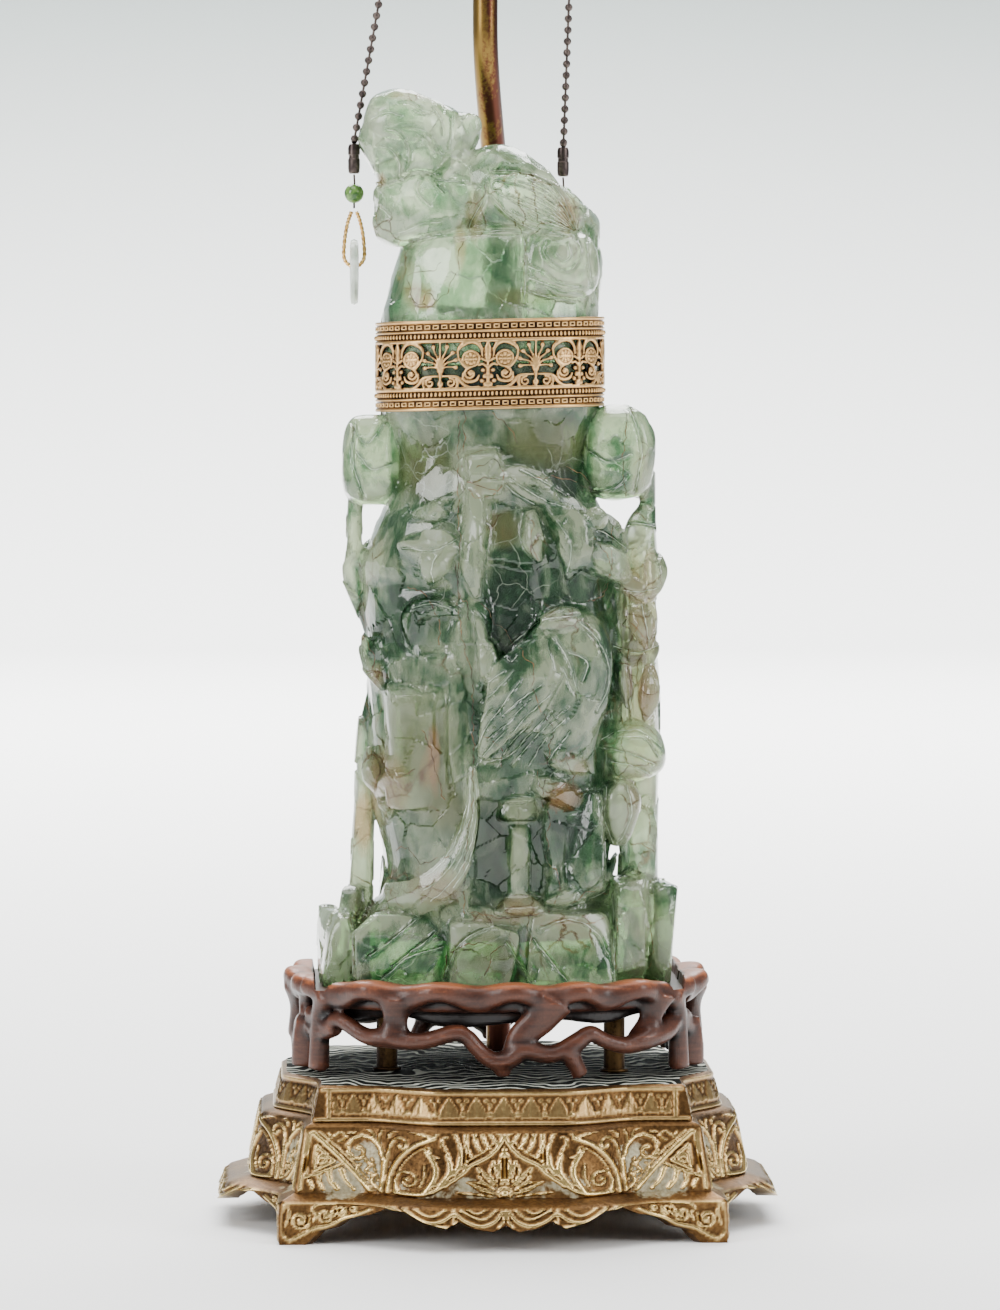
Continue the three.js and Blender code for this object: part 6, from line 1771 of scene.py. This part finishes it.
def cast_base():
    share = np.linspace(-1, 1, columns_per_side, endpoint=False)
    edge = np.interp(np.abs(share) * 87, skirt_edge[:, 0], skirt_edge[:, 1])
    rise_up = np.linspace(0, 1, 20) ** 0.9
    rows = [edge + (16 - edge) * t for t in rise_up]
    rows += [np.full(len(share), z) for z in np.concatenate([
        [17, 17.9, 19.5], np.linspace(20, 43.6, 48), [44, 44.8, 46], np.linspace(46.5, 58.9, 24), [59.2,
                60]])]
    z = np.stack(rows)
    x, out = side_shape(share[None], z, base_levels)
    rise = np.where(z < 16.5, skirt_relief(x, z), 0)
    rise = np.where((z > 19.6) & (z < 43.9), panel_relief(x, z), rise)
    rise = np.where((z > 46.2) & (z < 59.1), tier_relief(x, z), rise)
    rise *= smoothstep(1 - np.abs(share), 0, 0.02)[None]
    slope_x, slope_out = np.gradient(x, axis=1), np.gradient(out, axis=1)
    length = np.hypot(slope_x, slope_out)
    x_face = x - rise * slope_out / length
    out_face = out + rise * slope_x / length
    # top plate, shrinking rings of the same outline, then the hollow from the middle down to the edge
    plate = [0.985, 0.93, 0.75, 0.5, 0.25, 0.05]
    top_x, top_out = side_shape(share, np.full(len(share), 60.0), base_levels)
    xs, outs, zs = list(x_face), list(out_face), list(z)

    def add_row(row_x, row_out, height):
        xs.append(row_x)
        outs.append(row_out)
        zs.append(np.broadcast_to(height, len(share)))

    for k in plate:
        add_row(top_x * k, top_out * k, 60.0)
    for k in (0.05, 0.6, 1.0):
        in_x, in_out = side_shape(share, np.full(len(share), 57.0), base_hollow)
        add_row(in_x * k, in_out * k, 57.0)
    for level in (41, 16.5):
        in_x, in_out = side_shape(share, np.full(len(share), float(level)), base_hollow)
        add_row(in_x, in_out, float(level))
    low = np.minimum(edge + 0.6, 12.5)
    in_x, in_out = side_shape(share, low, base_hollow)
    add_row(in_x, in_out, edge)
    x, out, z = np.stack(xs), np.stack(outs), np.stack(zs)
    sides = [np.stack([x, -out, z], 2), np.stack([out, x, z], 2), np.stack([-x, out, z], 2),
             np.stack([-out, -x, z], 2)]
    grid = np.concatenate(sides, 1)
    count, around = grid.shape[:2]
    faces = closed_grid(count, around)
    # The ring about the middle is closed by a flat cap of its own above and below.
    turn_in = len(rise) + len(plate) - 1
    faces = faces[(faces[:, 0] // around) != turn_in]
    caps = [list(range(turn_in * around, (turn_in + 1) * around)),
            list(range((turn_in + 1) * around, (turn_in + 2) * around))[::-1]]
    thing = new_object("cast_brass_base", grid.reshape(-1, 3), faces.tolist() + caps)
    mark = np.zeros((count, around, 4))
    mark[..., 3] = 1
    mark[:len(rise), :, 0] = np.tile(np.clip(rise, 0, 1.2) / 1.2, (1, 4))

    def green_spot(height, tall, across, wide, power=2):
        near = np.exp(-(((z - height) / tall) ** 2))
        return near * np.exp(-(((np.abs(x) - across) / wide) ** power))

    low_spot = 0.42 * (z > 18) * green_spot(23, 8, 0, 42, 4) + 0.8 * green_spot(24, 7, 62, 12)
    low_spot = low_spot + 0.45 * green_spot(34, 9, 52, 10)
    mark[..., 1] = np.tile(low_spot, (1, 4))
    write_marks(thing, "brass_marks", mark)
    thing.data.set_sharp_from_angle(angle=math.radians(50))
    set_in_metres(thing)
    return thing


def cast_material():
    """Chased brass: gold ridges, brown ground, pale green in the deepest parts."""
    brass = Finish("cast_brass_chased")
    ridge, low_spot, _ = brass.marks("brass_marks")
    grain = brass.noise(700, 5)
    value = brass.plus(brass.plus(brass.times(ridge, 0.6), brass.noise(38, 5), 0.35), grain, 0.28)
    colour = brass.ramp(value, (0.2, (0.035, 0.018, 0.008)), (0.36, (0.15, 0.078, 0.028)),
                        (0.62, (0.37, 0.245, 0.1)), (0.94, (0.88, 0.65, 0.25)))
    deep = brass.plus(brass.plus(brass.minus(low_spot, ridge), brass.noise(160, 6), 0.9), grain, 0.2)
    green_share = brass.ramp(deep, (0.86, (0, 0, 0)), (1.0, (0.75,) * 3))
    green = brass.ramp(grain, (0.3, (0.24, 0.2, 0.1)), (0.7, (0.46, 0.44, 0.3)))
    return brass.surface({
        "Base Color": brass.mix(green_share, colour, green), "Metallic": brass.between(green_share, 1.0,
                0.1),
        "Roughness": brass.between(ridge, 0.42, 0.2), "Normal": brass.bump(grain, 0.5, 0.0004)})


def plate_material():
    """Engraved top plate: near-black metal under clear silvery lines that flow in bands and eddies."""
    plate = Finish("engraved_plate")
    spot = plate.node("Mapping", "Vector", {"Vector": plate.place, "Scale": (1.0, 0.4, 1)})
    wave = plate.node("TexWave", "Fac", {"Vector": spot, "Scale": 85, "Distortion": 24, "Detail": 2.5,
                                         "Detail Scale": 0.5}, bands_direction="Y")
    colour = plate.ramp(wave, (0.66, (0.005, 0.006, 0.005)), (0.9, (0.56, 0.58, 0.5)))
    return plate.surface({"Base Color": colour, "Roughness": 0.7, "Specular IOR Level": 0.04})


base = cast_base()
base.data.materials.append(cast_material())
base.data.materials.append(plate_material())
flat = np.empty(len(base.data.polygons) * 3)
base.data.polygons.foreach_get("normal", flat)
middles = np.empty(len(base.data.polygons) * 3)
base.data.polygons.foreach_get("center", middles)
on_top = (flat.reshape(-1, 3)[:, 2] > 0.99) & (middles.reshape(-1, 3)[:, 2] > 59.9 * MM)
base.data.polygons.foreach_set("material_index", on_top.astype(np.int32))
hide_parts("cast_base")
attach(base, "root")


# Turned and threaded fittings. The brass bushing that lines the cord's hole in the back of the base
# and the hexagonal lock nut that clamps the pipe under the base's top.


def lathe_ring(profile, around=48):
    """Turned form with a hole: a closed outline of [radius, height] swept round the upright axis."""
    rows = np.array(profile, float)
    turn = full_turn(around)
    x, y = rows[:, :1] * np.cos(turn), rows[:, :1] * np.sin(turn)
    grid = np.stack([x, y, np.repeat(rows[:, 1:], around, 1)], 2)
    return grid.reshape(-1, 3), closed_grid(len(rows), around).tolist()


def tipped(surface, axis, degrees):
    """Turned about an axis through the origin; positive is right-handed."""
    points, faces = surface
    c, s = math.cos(math.radians(degrees)), math.sin(math.radians(degrees))
    x, y, z = points.T
    if axis == "X":
        return np.stack([x, y * c - z * s, y * s + z * c], 1), faces
    if axis == "Y":
        return np.stack([x * c + z * s, y, z * c - x * s], 1), faces
    return np.stack([x * c - y * s, x * s + y * c, z], 1), faces


bushing = lathe_ring([(2.7, -6), (3.7, -6), (3.7, 1.9), (5.8, 2.4), (5.8, 3.4), (5.2, 4.2), (3.2, 4.3),
                      (2.7, 3.8)])
put(tipped(bushing, "X", -90), "bushing", "cord_bushing", pipe_metal, (0, 96.7, 31))
nut_top = 56.7
hexagon = lathe_ring([(5.3, -5), (9, -5), (9, -0.2), (8.6, 0), (5.3, 0)], 6)
put(hexagon, "lock_nut", "stem_nut", pipe_metal, (*stem_foot_place, nut_top))


# Two-light cluster, above the photograph's edge. Turned body, an arm and a pull-chain socket each
# way with a porcelain liner, and a riser with its finial for the shade.

cluster_foot = 522.3
arm_rise = 28
chain_reach = 35.1  # from the middle of the cluster to each chain's outlet
joint = (*stem_top_place, cluster_foot + 15)
body = turned_form([(0, 0), (0, 0), (9, 0), (9.6, 1), (10, 3), (8.4, 4.6), (7.5, 6), (9, 8), (12.6, 11),
                    (14, 13.6), (14, 16),
                    (13, 19), (9.6, 22), (8, 24), (8, 29.6), (7.6, 30), (0, 30), (0, 30)])
arms = [tipped(turned_form([(0, 0), (0, 0), (5, 0), (5, 16.7), (0, 16.7), (0, 16.7)]), "Y",
               hand * (90 - arm_rise)) for hand in (-1, 1)]
cluster = merged([body] + [(points + np.array([0, 0, 15]), faces) for points, faces in arms])
put(cluster, "cluster", "cluster_body", pipe_metal, (*stem_top_place, cluster_foot))
for side, hand in (("left", -1), ("right", 1)):
    shell = lathe_ring([
        (0.01, 17), (6, 17), (8, 21), (11.6, 25.6), (14.5, 31), (16.2, 35), (16.5, 37), (16.5, 41),
        (15.5, 43), (15.5, 58),
        (16, 59), (15.5, 60), (15.5, 64), (16, 65), (15.5, 66), (15.5, 76), (17.1, 79), (13.6, 79), (13.6,
                49), (0.01, 49)])
    outlet = turned_form([(0, 527), (0, 527), (2.2, 527), (2.6, 528), (2.6, 545), (0, 545), (0, 545)])
    outlet = (outlet[0] + np.array([hand * chain_reach, 0, -joint[2]]), outlet[1])
    put(merged([tipped(shell, "Y", hand * (90 - arm_rise)), outlet]), f"socket_shell_{side}",
        f"socket_{side}", pipe_metal, joint)


def plain_material(name, dark, pale, scale, rough, metallic=0.0, transmission=0.0):
    """Two close colours in a fine cloud."""
    plain = Finish(name)
    colour = plain.ramp(plain.noise(scale, 5, wobble=0.8), (0.38, dark), (0.64, pale))
    return plain.surface({"Base Color": colour, "Roughness": rough, "Metallic": metallic,
                          "Transmission Weight": transmission})


porcelain = plain_material("liner_glaze", (0.62, 0.58, 0.5), (0.72, 0.69, 0.62), 60, 0.25)
for side, hand in (("left", -1), ("right", 1)):
    liner = lathe_ring([(0.01, 49.3), (13, 49.3), (13, 75.3), (11.6, 75.3), (11.6, 53.3), (0.01, 53.3)])
    put(tipped(liner, "Y", hand * (90 - arm_rise)), f"liner_{side}",
        f"socket_liner_{side}", porcelain, joint)
riser = turned_form([(0, 552.6), (0, 552.6), (5.7, 552.6), (5.7, 557.6), (3.2, 558.6), (3.2, 660),
                     (9, 661), (9, 664), (0, 664), (0, 664)])
put(riser, "riser", "shade_riser", pipe_metal, (*stem_top_place, 0))
finial = turned_form([(0, 0), (0, 0), (5.5, 0), (6, 1.4), (6, 3), (3.9, 4.4), (3.5, 5.4), (5.6, 8.6),
                      (7.5, 12), (7.9, 14), (7.5, 16.4),
                      (5.6, 19.2), (3.6, 21.6), (2.4, 23.6), (1, 24.8), (0, 25), (0, 25)])
put(finial, "finial", "shade_finial", pipe_metal, (*stem_top_place, 664.3))


# Pull chains. Brown bead chain from each socket, with a connector, a wire, a green jade bead, a
# gold rope chain looped through a flat ring of pale jade. The right set hangs behind the lid.

bead_pitch, bead_radius, wire_radius = 4.5, 1.6, 0.5
chain_metal = plain_material("chain_brown", (0.045, 0.034, 0.032), (0.11, 0.085, 0.075), 300, 0.34, 0.85)
jade_green = plain_material("bead_jade", (0.035, 0.1, 0.02), (0.16, 0.3, 0.07), 260, 0.12)
jade_pale = plain_material("ring_jade", (0.5, 0.58, 0.47), (0.75, 0.8, 0.72), 120, 0.16, 0.0, 0.35)
gold_rope = plain_material("rope_gold", (0.45, 0.24, 0.07), (0.85, 0.55, 0.2), 500, 0.28, 1.0)


def beads(path):
    """Balls joined by wire along a curve: radius = sqrt(r^2 - s^2) about each ball's middle."""
    curve = spline(path, 300)
    way = np.concatenate([[0], np.cumsum(np.linalg.norm(np.diff(curve, axis=0), axis=1))])
    count = int(way[-1] // bead_pitch)
    place = np.linspace(0, way[-1], count * 14 + 1)
    points = np.stack([np.interp(place, way, curve[:, k]) for k in range(3)], 1)
    gap = np.abs((place / way[-1] * count) % 1 - 0.5) * bead_pitch
    radius = np.sqrt(np.maximum(bead_radius**2 - gap**2, wire_radius**2))
    return tube(points, radius, 14)


for side, hand, hang, turn in (("left", -1, (-56.5, 2.5), 0), ("right", 1, (28.4, 33.5), 90)):
    above = (-54.6, 3.0, 440) if hand < 0 else (28.8, 30.0, 440)
    top = (stem_top_place[0] + hand * chain_reach, stem_top_place[1], 526.7)
    put(beads([top, above, (*hang, 429)]), f"bead_chain_{side}", f"pull_chain_{side}",
        chain_metal)
    connector = turned_form([(0, 416.7), (0, 416.7), (1.7, 416.7), (2.2, 417.2), (2.4, 419), (2.4, 422.4),
                             (2.1, 422.8), (2.1, 424),
                             (2.4, 424.4), (2.4, 427), (2, 428.3), (1.4, 428.7), (0, 428.7), (0,
                                     428.7)], 24)
    put(connector, f"connector_{side}", f"chain_connector_{side}", chain_metal, (*hang, 0))
    wire = tube([[0, 0, 402.9], [0, 0, 409], [0.2, 0, 413], [0, 0, 416.4]], 0.42, 10)
    put(wire, f"wire_{side}", f"pull_wire_{side}", chain_metal, (*hang, 0))
    rows = [(3.9 * math.sin(a), 408.8 - 3.9 * math.cos(a)) for a in np.linspace(0.14, math.pi - 0.14, 20)]
    put(lathe_ring([(0.55, rows[0][1])] + rows + [(0.55, rows[-1][1])], 32), f"bead_{side}",
        f"jade_bead_{side}", jade_green, (*hang, 0))
    loop = spline([[-1, 0, 401.7], [-2.6, 0, 397], [-3.8, 0, 390], [-3.8, 0, 382.6], [0, 0, 379.6],
                   [3.8, 0, 382.6],
                   [3.8, 0, 390], [2.6, 0, 397], [1, 0, 401.7]], 420)
    twist = 0.62 + 0.24 * np.abs(np.sin(np.arange(420) * 0.22))
    put(tipped(tube(loop, twist, 10), "Z", turn), f"rope_{side}", f"gold_loop_{side}",
        gold_rope, (*hang, 0))
    ring = lathe_ring([(4.6, -0.9), (5.2, -1.5), (6.4, -1.7), (11, -1.7), (12.6, -1.3), (13.2, 0),
                       (12.6, 1.3), (11, 1.7),
                       (6.4, 1.7), (5.2, 1.5), (4.6, 0.9)], 64)
    put(tipped(tipped(ring, "Y", 90), "Z", turn), f"ring_{side}", f"jade_ring_{side}",
        jade_pale, (*hang, 377.5))
